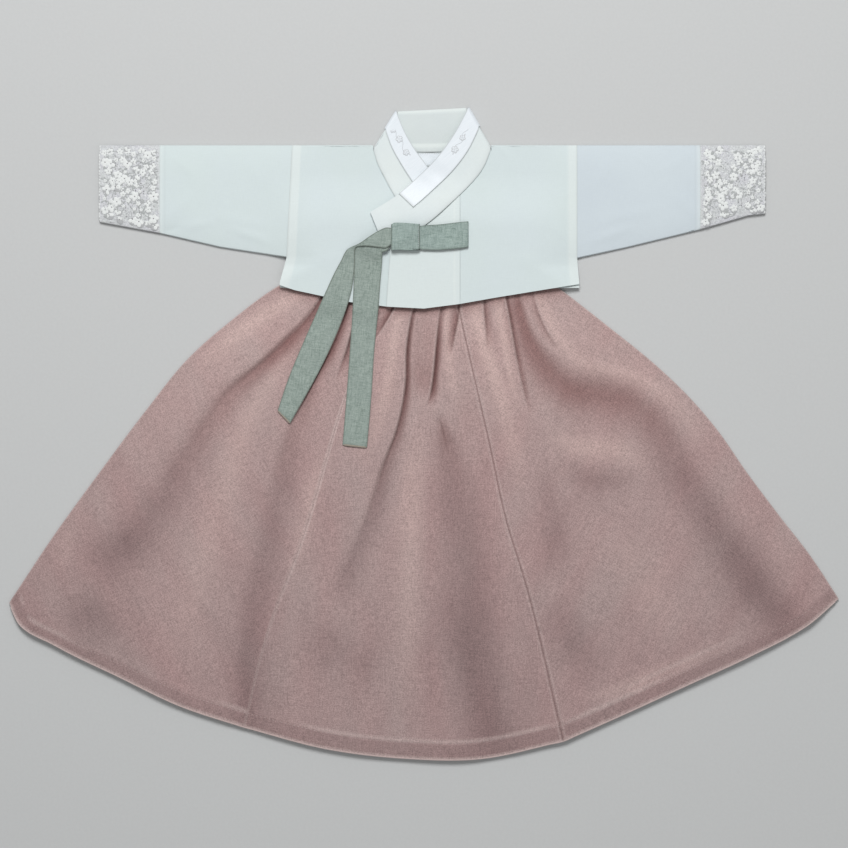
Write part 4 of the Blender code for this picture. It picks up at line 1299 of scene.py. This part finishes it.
def make_band(pink):
    """The waistband inside the jacket, with gathers pressed into it above a pale seam line."""
    y_values = np.linspace(BAND_BOTTOM + SEAM_GAP, BAND_TOP, BAND_ROWS)
    inside = BAND_HALF_WIDTH - BAND_CLEAR
    x_values = np.concatenate([[-BAND_HALF_WIDTH], np.linspace(-inside, inside, BAND_COLUMNS),
                               [BAND_HALF_WIDTH]])
    plan = np.stack(np.meshgrid(x_values, y_values), axis=-1)

    def top(points):
        """The band's front, which comes down to its back where it folds at each side."""
        gathers = 0.35 * (np.sin(points[..., 0] / BAND_GATHER) - 1)
        height = BAND_HEIGHT + gathers * ease((BAND_TOP - points[..., 1]) / 30)
        inside = np.clip((BAND_HALF_WIDTH - np.abs(points[..., 0])) / BAND_FOLD, 0, 1)
        round_in = np.sqrt(1 - (1 - inside) ** 2)
        return floor(points) + BAND_END + (height - BAND_END) * round_in

    grids = folded(plan, plan, floor, top, JACKET_CLOTH, ring=True)
    x, y = grids[0][..., 0], grids[0][..., 1]
    plain = np.zeros(x.shape)
    sewn("skirt_waistband", "chima_waistband", pink, "chima_cloth", "folded", grids, ring=True,
         tone=0.3 * (0.5 + 0.5 * np.sin(x / BAND_GATHER)), hem=plain,
         light=0.5 * line_mark(y, BAND_BOTTOM + 4.0, 0.7), dark=plain, pale=plain + 0.2,
         warm=plain + 1.0)


# The jacket


def body_plan(side_line, neck, outer, inner, neck_line, drop, shares):
    """Plan points of half the body's columns, from the shoulder or the neck down to the hem."""
    share = np.linspace(0, 1, outer + 1)[:, None]

    def column_x(y):
        """X of the columns: some between the side line and the neck, the rest straight."""
        side = looked_up(side_line, y[: outer + 1])
        straight = np.repeat(np.array(inner, float)[:, None], y.shape[1], axis=1)
        return np.concatenate([side + (neck - side) * share, straight])

    def x_at(height):
        return column_x(np.full((outer + 1 + len(inner), 1), height))[:, 0]

    foot_x = x_at(UNDERARM)
    feet = looked_up(JACKET_HEM, foot_x) - drop * looked_up(BACK_DROP, foot_x)
    rows = np.repeat(shares[None], len(feet), axis=0)
    rows[outer + 1:] = np.clip((shares - shares[FINE]) / (1 - shares[FINE]), 0, 1)
    tops = np.full(len(feet), SHOULDER)
    tops[outer + 1:] = neck_line(x_at(SHOULDER)[outer + 1:])
    y = tops[:, None] + (feet - tops)[:, None] * rows
    return np.stack([column_x(y), y], axis=-1)


def outer_edge(rows):
    """A stretch of collar's outer edge, towards +X."""
    return sorted(row[2:] for row in rows)


def back_neck(x):
    """Where the back ends, under the collar."""
    return looked_up(outer_edge(BACK_COLLAR), x) - NECK_GAP


def under_neck(x):
    """Where the right front ends, under the collar and on under the left front."""
    edge = [*outer_edge(UNDER_COLLAR), (UNDERLAP, UNDERLAP_TOP)]
    return looked_up(edge, x - COLLAR_LAP)


def over_neck(x):
    """Where the left front ends, under the collar."""
    return looked_up(outer_edge(OVER_COLLAR), x + COLLAR_LAP) - SEAM_GAP


def make_half(name, material, side_line, neck, outer, inner, neck_line, top, back_to, front_to):
    """Half the body in one over the shoulder: its back and its front, open at the neck."""
    outer = outer * FINE
    inner = finer([neck, *inner], FINE)[1:]
    front_rows, back_rows = finer(FRONT_ROWS, FINE), finer(BACK_ROWS, FINE)
    high = body_plan(side_line, neck, outer, inner, neck_line, 0.0, front_rows)
    low = body_plan(side_line, neck, outer, inner, back_neck, 1.0, back_rows)
    grids = folded(low, high, lifted_support, top, JACKET_CLOTH)
    columns = grids[0].shape[1]
    under = len(back_rows) - 1 - FINE
    over = columns - len(front_rows) + FINE
    present = np.ones((len(high) - 1, columns - 1), bool)
    present[outer:, under:over] = False
    present[back_to * FINE:, :under] = False
    present[front_to * FINE:, over:] = False
    x, y = grids[0][..., 0], grids[0][..., 1]
    inside = np.abs(x - looked_up(side_line, y))
    allowance = 0.55 * ease((SEAM_BAND - inside) / 1.6)
    # Painted shade along the armhole seam
    armhole = 0.3 * line_mark(inside, 0, 0.7) * (y > UNDERARM)
    sewn(f"jacket_{name}", f"jeogori_{name}", material, "jeogori_cloth", "folded", grids,
         ["skirt_front"], present, light=allowance, dark=armhole)


def make_jacket_body(white):
    make_half("right", white, RIGHT_SIDE, NECK_RIGHT, RIGHT_OUTER, RIGHT_INNER, under_neck,
              under_top, RIGHT_BACK, RIGHT_FRONT)
    make_half("left", white, LEFT_SIDE, NECK_LEFT, LEFT_OUTER, LEFT_INNER, over_neck,
              over_top, LEFT_BACK, LEFT_FRONT)
    seam = SEOP_SEAM - SEAM / 2
    rows, columns = OVERLAP_GRID
    share = np.linspace(0, 1, columns)[:, None]
    at_hem, at_top = (x + (seam - x) * share for x in (SEOP_EDGE[0][1], SEOP_EDGE[-1][1]))
    foot, head = looked_up(JACKET_HEM, at_hem), over_neck(at_top)
    y = head + (foot - head) * np.linspace(0, 1, rows)
    edge = looked_up(SEOP_EDGE, y)
    plan = np.stack([edge + (seam - edge) * share, y], axis=-1)
    from_seam, from_edge = seam - plan[..., 0], plan[..., 0] - edge
    light = 0.45 * ease(from_seam / 1.5 + 0.5) + 0.3 * line_mark(from_seam, 6.0, 0.8)
    # Painted shade along the free edge and the seam
    dark = np.maximum(0.5 * line_mark(from_edge, 0, 0.8), 0.18 * line_mark(from_seam, 0, 0.7))
    sewn("jacket_overlap", "jeogori_seop", white, "jeogori_cloth", "laid",
         sheet(plan, over_top(plan), JACKET_CLOTH), ["jacket_right"],
         light=np.clip(light, 0, 1), dark=dark)


def sleeve_plan(sleeve, start, end, stations, shares):
    """Plan rows across a sleeve, from the shoulder fold to its lower fold."""
    reach = np.linspace(0, 1, stations + 1)[:, None]
    lower = looked_up(sleeve, start(np.full((1, 1), UNDERARM)) * (1 - reach) + end * reach)
    y = SHOULDER + (lower - SHOULDER) * np.array(shares, float)
    return np.stack([start(y) * (1 - reach) + end * reach, y], axis=-1)


def cuff_top(plan):
    return under_top(plan) + 2 * (CUFF_WALL - JACKET_WALL) - FLOWER_RISE


def cuff_bottom(plan):
    return support(plan) + UNDERSIDE + FLOWER_RISE


SIDES = (
    ("right", RIGHT_SLEEVE, RIGHT_SIDE, RIGHT_CUFF, RIGHT_END, -1),
    ("left", LEFT_SLEEVE, LEFT_SIDE, LEFT_CUFF, LEFT_END, 1),
)


def make_sleeves(whites, lace):
    under, over = finer(SLEEVE_UNDER, 5), finer(SLEEVE_OVER, 7)
    for side, sleeve, side_line, cuff, end, sign in SIDES:
        def armhole(y, line=side_line, step=sign * SEAM):
            return looked_up(line, y) + step

        def seam(y, at=cuff + sign * SEAM):
            return np.full(np.shape(y), float(at))

        low, high = (sleeve_plan(sleeve, armhole, cuff, SLEEVE_STATIONS, shares)
                     for shares in (under, over))
        grids = folded(low, high, lifted_support, under_top, JACKET_CLOTH, ring=True)
        to_cuff = np.abs(cuff - grids[0][..., 0])
        sewn(f"sleeve_{side}", f"jeogori_sleeve_{side}", whites[side], "jeogori_cloth", "folded",
             grids, ring=True, light=0.3 * ease((4.0 - to_cuff) / 1.5),
             dark=0.1 * line_mark(to_cuff, 5.0, 0.8))
        low, high = (sleeve_plan(sleeve, seam, end, CUFF_STATIONS, shares)
                     for shares in (under, over))
        grids = folded(low, high, cuff_bottom, cuff_top, CUFF_WALL, ring=True)
        to_seam = np.abs(cuff - grids[0][..., 0])
        piece = shell(f"cuff_{side}", *grids, ring=True, light=0.7 * ease((1.6 - to_seam) / 1.2))
        dress(piece, lace, "cuff_lace", f"jeogori_cuff_{side}")
        parts = make_embroidery(side, sleeve, cuff, end, sign)
        cloth("folded", grids[0], ring=True)


# Embroidery


def domes(name, places, around=10, surface=None):
    """Low closed domes. A place: x, y, base z, angle, length, width, rise (down if below 0).

    With a surface, each dome follows it, and its base z is measured from it.
    """
    reach = np.array([0.52, 0.88, 1.0])
    lift = np.array([0.85, 0.45, 0.0])
    angles = np.linspace(0, 2 * np.pi, around, endpoint=False)
    ring_x = reach[:, None] * np.cos(angles)
    ring_y = reach[:, None] * np.sin(angles) * (0.9 + 0.2 * ring_x)
    flat_x, flat_y = np.append(0.0, ring_x.ravel()), np.append(0.0, ring_y.ravel())
    rises = np.append(1.0, np.repeat(lift, around))
    index, after = ring_index(len(reach), around, 1)
    base = [[0, int(a), int(b)] for a, b in zip(index[0], after[0])]
    base += quads(index[:-1], index[1:], after[1:], after[:-1])
    base.append(index[-1, ::-1].tolist())
    points, faces = [], []
    for x, y, z, angle, length, width, rise in places:
        down, aside = flat_x * length / 2, flat_y * width / 2
        start = len(points) * len(flat_x)
        spots = np.stack([x + down * np.cos(angle) - aside * np.sin(angle),
                          y + down * np.sin(angle) + aside * np.cos(angle)], axis=1)
        base_z = z if surface is None else z + surface(spots)
        points.append(raised(spots, base_z + rises * rise))
        step = 1 if rise > 0 else -1
        faces += [[start + k for k in face[::step]] for face in base]
    return new_piece(name, np.concatenate(points), faces, sharp=1.3)


def heading(angle):
    return np.array([np.cos(angle), np.sin(angle)])


def around_flower(turn):
    """The directions of a flower's five petals."""
    return turn + np.arange(5) * 2 * np.pi / 5


def scattered(random, inside, bounds, spacing, tries):
    """Spots at least a spacing apart, inside a region."""
    spots = []
    x0, y0, x1, y1 = bounds
    for _ in range(tries):
        spot = np.array([random.uniform(x0, x1), random.uniform(y0, y1)])
        if inside(spot) and all(np.hypot(*(spot - other)) > spacing for other in spots):
            spots.append(spot)
    return spots


def make_embroidery(side, sleeve, cuff, end, sign):
    """Five-petalled flowers, leaves and stems over both faces of a cuff."""
    random = np.random.default_rng(40 + sign)
    x0, x1 = sorted((cuff + sign * 5.5, end - sign * 4.5))
    bounds = (x0, FLOWER_FLOOR, x1, SHOULDER)

    def inside(spot):
        lower = looked_up(sleeve, spot[0])
        return lower + FLOWER_EDGE < spot[1] < SHOULDER - FLOWER_EDGE

    def fits(place):
        return inside(place) and x0 - 3 < place[0] < x1 + 3

    petals, eyes, leaves, stems, shades = [], [], [], [], []
    for height, way in ((cuff_top, 1), (cuff_bottom, -1)):
        rise = way * FLOWER_RISE
        spots = scattered(random, inside, bounds, FLOWER_SPACING, 3200)
        thick = undulation(np.array(spots), 60 + sign, 16)
        spots = [spot for spot, here in zip(spots, thick) if here > -0.75]
        for spot in spots:
            size = random.choice(FLOWER_SIZES) * random.uniform(0.9, 1.1)
            turn = random.uniform(0, 2 * np.pi)
            z = float(height(spot[None])[0])
            # A grey dome under each flower, a little larger and set off towards +X and -Y: a
            # painted shadow that also outlines the flower
            shades.append((spot[0] + 0.5, spot[1] - 0.7, z, turn, size * 2.1, size * 1.9,
                           rise * 0.25))
            for angle in around_flower(turn):
                angle += random.uniform(-0.12, 0.12)
                out = size * random.uniform(0.40, 0.50)
                if random.uniform() >= MISSING_PETALS:
                    petals.append((*(spot + out * heading(angle)), z, angle,
                                   size * random.uniform(0.85, 1.2),
                                   size * random.uniform(0.68, 0.98), rise * 0.85))
            eyes.append((*spot, z, turn, size * 0.3, size * 0.3, rise))
            for _ in range(3):
                angle = random.uniform(0, 2 * np.pi)
                place = spot + (size + random.uniform(0.6, 1.6)) * heading(angle)
                if fits(place):
                    leaves.append((*place, z, angle + random.uniform(-0.5, 0.5), 4.2, 2.0,
                                   rise * 0.5))
        for speck in scattered(random, inside, bounds, SPECK_SPACING, 2200):
            z = float(height(speck[None])[0])
            kind = random.choice(3, p=[0.45, 0.2, 0.35])
            place = (*speck, z, random.uniform(0, np.pi), random.uniform(1.2, 2.4),
                     random.uniform(0.6, 1.1), rise * 0.35)
            (petals, eyes, leaves)[kind].append(place)
        for spot in spots:
            angle = random.uniform(0, 2 * np.pi)
            bend = random.uniform(-1, 1)
            turns = angle + bend * np.linspace(0, 1, 7)
            plan = spot + np.cumsum(heading(turns), axis=1).T * (STEM_LENGTH / 6)
            if all(fits(place) for place in plan):
                stems.append(raised(plan, height(plan) + way * 0.1))
    lower_end = looked_up(sleeve, end)
    for y in np.arange(lower_end + 2.5, SHOULDER - 1.5, 3.3):
        spot = np.array([end - sign * random.uniform(-0.3, 0.5), y + random.uniform(-0.4, 0.4)])
        z = float(cuff_top(spot[None])[0]) - 0.5
        petals.append((*spot, z, np.pi / 2, random.uniform(2.8, 4.0),
                       random.uniform(1.6, 2.6), 0.6))
    name = f"cuff_{side}_"
    pieces = (
        (domes(name + "petals", petals), "white"),
        (domes(name + "eyes", eyes, 8), "eye"),
        (domes(name + "leaves", leaves, 8), "leaf"),
        (tubes(name + "stems", stems, 0.3), "leaf"),
        (domes(name + "shades", shades, 12), "shade"),
    )
    return [dress(piece, THREADS[thread], "cuff_lace").name for piece, thread in pieces]


# The collar


def collar_rows(rows, shares):
    """Points across a stretch of collar, from its neck edge to its outer edge."""
    return strip_plan(spline(rows, shares), np.array(COLLAR_SHARES, float)[:, None])


def collar_turn(fold, outward, upper, lower):
    """Middle points round a fold of the collar, from its upper layer to its lower one."""
    radius = (upper - lower) / 2
    middle = (upper + lower) / 2
    turn = []
    for angle in np.radians([65, 22, -22, -65]):
        reach = radius * np.cos(angle) - radius - COLLAR_WALL / 2
        plan = fold + np.array(outward) * reach[:, None]
        turn.append(raised(plan, middle + radius * np.sin(angle)))
    return np.array(turn)


def collar_middle():
    """The middle surface of the collar: under part, back and upper part, folded between."""
    half = COLLAR_WALL / 2
    under = collar_rows(UNDER_COLLAR, UNDER_ROWS)
    back = collar_rows(BACK_COLLAR, NECK_ROWS)
    over = collar_rows(OVER_COLLAR, OVER_ROWS)
    shares = np.array(COLLAR_SHARES)
    strip_edge = shares[STRIP_COLUMNS - 1]
    lift = (STRIP_WALL + SEAM_GAP) * (1 - ease((shares - strip_edge) / (1 - strip_edge)))
    rest = lift + half
    under_part = raised(under, under_top(under) + COLLAR_GAP + half)
    back_part = raised(back, np.repeat(rest[None], len(back), axis=0))
    over_part = raised(over, over_collar_base(over) + half)
    right_fold, left_fold = collar_rows(BACK_COLLAR, [0, 1])
    right_turn = collar_turn(right_fold, (-0.866, 0.5), under_part[-1, :, 2], rest)
    left_turn = collar_turn(left_fold, (0.866, 0.5), over_part[0, :, 2], rest)
    return np.concatenate([under_part, right_turn, back_part, left_turn[::-1], over_part])


def across_and_row(grid):
    """How far each point of a grid is across it, as a share, and the number of its row."""
    rows, columns = grid.shape[:2]
    return np.meshgrid(np.linspace(0, 1, columns), np.arange(float(rows)))


def make_collar(white, satin):
    middle = collar_middle()
    fine = refined_both(middle, 5, 6)
    across, row = across_and_row(fine)
    behind = ease((row - COLLAR_BACK[0]) / 6) * ease((COLLAR_BACK[1] - row) / 6)
    front = 1 - behind
    fine[..., 2] -= 0.6 * front * ease((across - 0.9) / 0.1)
    covered = front * (row <= (len(middle) - 1 - ROWS_PAST_STRIP) * 5)
    # Painted shade along the outer edge, a dark line for its stitching, painted shade along both
    # sides of the strip, and painted shade over the collar's back
    dark = np.maximum.reduce([
        0.40 * line_mark(across, 1.0, 0.016),
        0.35 * front * line_mark(across, 0.945, 0.010),
        0.38 * covered * line_mark(across, 0.495, 0.016),
        0.45 * covered * line_mark(across, 0.0, 0.014),
        0.22 * behind * ease((across - 0.07) / 0.03),
    ])
    # Behind the neck, a painted highlight along the fold at the neck edge, and a light line near
    # the outer edge
    light = behind * np.maximum(line_mark(across, 0.03, 0.03), line_mark(across, 0.86, 0.05))
    dark = np.clip(dark - 0.25 * light, 0, 1)
    git = dress(shell("collar", *thickened(fine, COLLAR_WALL), light=light, dark=dark), white,
                "jeogori_cloth", "jeogori_git")
    lift = (COLLAR_WALL + STRIP_WALL) / 2 + SEAM_GAP
    strip = thickened(middle, 2 * lift)[0][:-ROWS_PAST_STRIP, :STRIP_COLUMNS]
    strip = refined_both(strip, 5, 8)
    outer, inner = thickened(strip, STRIP_WALL)
    across, row = across_and_row(outer)
    # Painted shade along the strip's two edges and its end
    dark = np.maximum.reduce([
        0.75 * line_mark(across, 0.0, 0.03),
        0.42 * line_mark(across, 1.0, 0.03),
        0.7 * line_mark(row, len(outer) - 1, 0.8),
    ])
    satin_piece = dress(shell("collar_satin", outer, inner, dark=dark), satin,
                        "dongjeong_satin", "jeogori_dongjeong")
    flowers = make_collar_flowers(outer)
    cloth("folded", fine, rests_on=["jacket_left", "jacket_right"])
    cloth("folded", strip, rests_on=["collar"])
    make_label(satin)


def make_collar_flowers(outer):
    """White flowers on a winding stem on the satin, near both ends of the back of the neck."""
    random = np.random.default_rng(9)
    low, high = min(COLLAR_FLOWERS) - 14, max(COLLAR_FLOWERS) + 14
    satin = outer[low:high].reshape(-1, 3)

    def surface(spots):
        """The satin's height from the nearest of its points."""
        away = np.hypot(spots[:, None, 0] - satin[:, 0], spots[:, None, 1] - satin[:, 1])
        near = np.argpartition(away, 4, axis=1)[:, :4]
        weight = 1 / (np.take_along_axis(away, near, axis=1) + 0.05) ** 2
        return (satin[near, 2] * weight).sum(axis=1) / weight.sum(axis=1)

    petals, leaves, shades, stems, centres = [], [], [], [], []
    for row in COLLAR_FLOWERS:
        spot = outer[row, outer.shape[1] // 2, :2] + random.uniform(-1.4, 1.4, 2)
        centres.append(spot)
        size = random.uniform(3.0, 3.9)
        turn = random.uniform(0, 2 * np.pi)
        shades.append((*spot, 0.0, turn, size * 1.1, size * 1.1, 0.1))
        for angle in around_flower(turn):
            place = spot + 0.48 * size * heading(angle)
            shades.append((*place, -0.02, angle, size * 1.3, size * 1.12, 0.13))
            petals.append((*place, 0.0, angle, size * 0.92, size * 0.74, 0.36))
        petals.append((*spot, 0.0, turn, size * 0.35, size * 0.35, 0.45))
        for step in (0.9, 2.6, 4.4):
            place = spot + (size + 0.9) * heading(turn + step)
            if np.hypot(*(satin[:, :2] - place).T).min() < 0.6:
                leaves.append((*place, -0.02, turn + step, 2.8, 1.2, 0.26))
    for start, end in zip(centres, centres[1:]):
        run = end - start
        if np.hypot(*run) < 40:
            t = np.linspace(0.12, 0.88, 9)[:, None]
            bow = np.array([-run[1], run[0]]) * 0.12 * np.sin(2 * np.pi * t)
            plan = start + run * t + bow
            stems.append(raised(plan, surface(plan) + 0.06))
    pieces = (
        (domes("collar_petals", petals, 10, surface), "satin"),
        (domes("collar_leaves", leaves, 8, surface), "pale"),
        (domes("collar_shades", shades, 14, surface), "pale"),
        (tubes("collar_stems", stems, 0.22), "pale"),
    )
    return [dress(piece, THREADS[thread], "dongjeong_satin").name for piece, thread in pieces]


def make_label(satin):
    """The bare label sewn inside the neck, stitched along its upper and lower edges."""
    x0, y0, x1, y1 = LABEL
    rows, columns = LABEL_GRID
    plan = np.stack(np.meshgrid(np.linspace(x0, x1, columns), np.linspace(y0, y1, rows)), -1)

    def top(points):
        bow = 0.35 * np.sin(np.pi * (points[..., 0] - x0) / (x1 - x0)) ** 2
        return back_top(points) + SEAM_GAP + LABEL_CLOTH + bow

    grids = sheet(plan, top(plan), LABEL_CLOTH)
    x, y = plan[..., 0], plan[..., 1]
    edge = np.minimum.reduce([x - x0, x1 - x, y - y0, y1 - y])
    # Painted shade round the label's edges
    piece = dress(shell("neck_label", *grids, dark=0.95 * (1 - ease(edge / 1.2))), satin,
                  "dongjeong_satin", "jeogori_label")
    stitches = [np.array([(start + step, row) for step in (0, 0.5, 1.0, 1.5)])
                for row in (y0 + 1.2, y1 - 1.2)
                for start in np.arange(x0 + 1.5, x1 - 2, 2.4)]
    thread = stitched("neck_label_stitches", stitches, top, [-0.08, 0.1, 0.1, -0.08], 0.16, 5,
                      THREADS["shade"], "dongjeong_satin")
    cloth("laid", grids[0], rests_on=["jacket_left"])


# The ribbon


def edge_mark(outer, width):
    """1 along the two long edges of a strip whose rows run across it."""
    across = np.linalg.norm(np.diff(outer[..., :2], axis=1), axis=2)
    reach = np.concatenate([np.zeros((len(outer), 1)), np.cumsum(across, axis=1)], axis=1)
    inside = np.minimum(reach, reach[:, -1:] - reach)
    return 1 - ease((inside - width * 0.4) / width)


def make_tail(name, material, table):
    stations, columns = TAIL_GRID
    rows = curve(table, stations)
    across = np.linspace(0, 1, columns)[:, None]
    plan = strip_plan(rows, across)
    roll = 0.35 * (1 - (2 * across[:, 0] - 1) ** 6)
    top = ribbon_base(plan) + rows[:, None, 4] + RIBBON_WALL
    grids = sheet(plan, top + roll - 0.35 + 0.18 * undulation(plan, 17, 26), RIBBON_CLOTH)
    ends = np.linspace(0, 1, stations)[:, None] * np.ones(columns)
    # Painted shade along the tail's long edges and across its end
    sewn(f"ribbon_{name}", f"goreum_{name}", material, "goreum_cloth", "laid", grids,
         ["skirt_front"],
         edge=np.maximum(edge_mark(grids[0], 1.0), 0.6 * line_mark(ends, 1.0, 0.006)))


def make_ribbon(sage, sage_flat):
    make_tail("tail_short", sage, SHORT_TAIL)
    make_tail("tail_long", sage, LONG_TAIL)
    make_loop(sage_flat)
    make_knot(sage_flat)
    make_tail_ends()


def make_loop(material):
    """The loop, folded along its left end."""
    rows = refined(np.array(LOOP[::-1], float), LOOP_TIMES)
    share = np.linspace(0, 1, LOOP_COLUMNS)[:, None]
    y = rows[:, 1] * (1 - share) + rows[:, 2] * share
    plan = np.stack([np.repeat(rows[None, :, 0], len(share), axis=0), y], axis=-1)

    def bottom(points):
        in_knot = 1 - ease((points[..., 0] - KNOT[2]) / 14)
        return ribbon_base(points) + SEAM_GAP + (RIBBON_WALL + KNOT_GAP) * in_knot

    def top(points):
        open_out = ease((points[..., 0] - KNOT[2] + 1) / 16)
        waves = 0.2 * open_out * (undulation(points, 19, 22) - 1.5)
        return bottom(points) + KNOT_LOOP + (LOOP_HEIGHT - KNOT_LOOP) * open_out + waves

    grids = folded(plan, plan, bottom, top, RIBBON_CLOTH)
    sewn("ribbon_loop", "goreum_loop", material, "goreum_cloth", "folded", grids,
         ["jacket_overlap"], edge=edge_mark(grids[0].swapaxes(0, 1), 1.0).T)


def make_knot(material):
    x0, y0, x1, y1 = KNOT
    share = np.linspace(0, 1, KNOT_GRID)[:, None]
    upper = y1 - 1.4 * ease(share) + 0.5 * np.sin(np.pi * share)
    upper = upper - 1.8 * bell(share, 0.07)
    lower = y0 + 0.4 * ease(share) + 0.4 * np.sin(2 * np.pi * share)
    y = lower + (upper - lower) * ease(np.linspace(0, 1, KNOT_GRID))
    plan = np.stack([np.repeat(x0 + (x1 - x0) * share, KNOT_GRID, axis=1), y], axis=-1)

    def bottom(points):
        return ribbon_base(points) + KNOT_GAP

    def top(points):
        x = points[..., 0]
        pinched = 0.5 * bell(x - x0 - 9, 1.6) + 0.35 * bell(x - x0 - 21, 1.4)
        ends = bell(x - x0, KNOT_ROUND) + bell(x - x1, KNOT_ROUND)
        return bottom(points) + KNOT_HEIGHT - pinched - KNOT_DROP * ends

    grids = folded(plan, plan, bottom, top, RIBBON_CLOTH, ring=True)
    sewn("ribbon_knot", "goreum_knot", material, "goreum_cloth", "folded", grids,
         ["jacket_overlap"], ring=True, edge=edge_mark(grids[0].swapaxes(0, 1), 1.2).T)


def make_tail_ends():
    """The turned hems at the tails' ends, and the row of small stitches beside the knot."""
    ends = []
    for table in (SHORT_TAIL, LONG_TAIL):
        spots = strip_plan(np.array(table[-1:], float), np.linspace(0.03, 0.97, 12)[:, None])[0]
        ends.append(raised(spots, ribbon_base(spots) + table[-1][4] + RIBBON_WALL - 0.15))
    dress(tubes("ribbon_ends", ends, 1.0, 8, flat=0.5), thread_material("tail_end", TAIL_END),
          "goreum_cloth")
    inset = 1.6

    def top(points):
        """The knot's front, as far inside its left end as the stitches are."""
        drop = KNOT_DROP * bell(inset, KNOT_ROUND)
        return ribbon_base(points) + KNOT_GAP + KNOT_HEIGHT - drop

    stitches = [np.array([(KNOT[2] - inset, start + step) for step in (0, 0.5, 1.1)])
                for start in np.arange(KNOT[1] + 4.5, KNOT[3] - 4.0, 2.2)]
    stitched("ribbon_stitches", stitches, top, [-0.1, 0.15, -0.1], 0.28, 6, THREADS["pale"],
             "goreum_cloth")


# Camera, light and floor


def make_studio():
    data = bpy.data.cameras.new("camera")
    data.sensor_width = 36.0
    data.lens = data.sensor_width * (CAMERA_HEIGHT - VIEW_PLANE) / VIEW_WIDTH
    data.clip_end = 20.0
    camera = placed("camera", data)
    camera.location = (0, CAMERA_Y * MM, CAMERA_HEIGHT * MM)
    bpy.context.scene.camera = camera
    lamps = (
        ("key", KEY_PLACE, KEY_SIZE, KEY_POWER),
        ("fill", FILL_PLACE, FILL_SIZE, FILL_POWER),
    )
    for name, place, size, power in lamps:
        lamp = bpy.data.lights.new(name, "AREA")
        lamp.size, lamp.energy = size, power
        piece = placed(name, lamp)
        piece.location = place
        piece.rotation_euler = (-Vector(place)).to_track_quat("-Z", "Y").to_euler()
    world = bpy.data.worlds.new("studio")
    world.use_nodes = True
    background = world.node_tree.nodes["Background"]
    background.inputs["Color"].default_value = (1, 1, 1, 1)
    background.inputs["Strength"].default_value = AMBIENT
    bpy.context.scene.world = world
    bpy.context.scene.view_settings.view_transform = "Standard"
    corners = np.array([(-1, -1), (1, -1), (1, 1), (-1, 1)]) * FLOOR_REACH
    surface = new_piece("floor", raised(corners, np.full(4, FLOOR_HEIGHT)), [[0, 1, 2, 3]])
    material, tree, _ = start_material("floor", 0.9)
    speck = noise(tree, 0.0, (1.0, 1.0, 1.0), 3.0, 3.0, 0.6)
    surface.data.materials.append(
        coloured(material, shaded(tree, FLOOR, speck, 0.3, 0.7, 0.985, 1.015)))


def main():
    make_studio()
    colours = (("white", THREAD_WHITE), ("leaf", THREAD_LEAF), ("eye", THREAD_EYE),
               ("shade", THREAD_SHADE), ("pale", THREAD_PALE))
    for name, colour in colours:
        THREADS[name] = thread_material(f"thread_{name}", colour)
    THREADS["satin"] = thread_material("thread_satin", SATIN_HIGH, 0.35, 0.1)
    make_skirt(skirt_material("pink_front", 0.0), skirt_material("pink_right", -0.45),
               skirt_material("pink_left", 0.5))
    white = white_material("white_cloth", 0.0, WHITE_BODY)
    make_jacket_body(white)
    # The left sleeve in a darker, bluer copy of the white: painted shade
    sleeves = {"right": white, "left": white_material("white_sleeve_shaded", 0.0, WHITE_SHADED_BLUE)}
    make_sleeves(sleeves, lace_ground_material("lace_ground"))
    make_collar(white_material("white_collar", 0.9, WHITE_SEAM_AND_HIGHLIGHT, 0.7),
                satin_material("white_satin", 0.9))
    make_ribbon(ribbon_material("sage_tails", 0.15),
                ribbon_material("sage_loop", 1.55, (1.04, 1.09, 1.12)))


THREADS = {}
main()
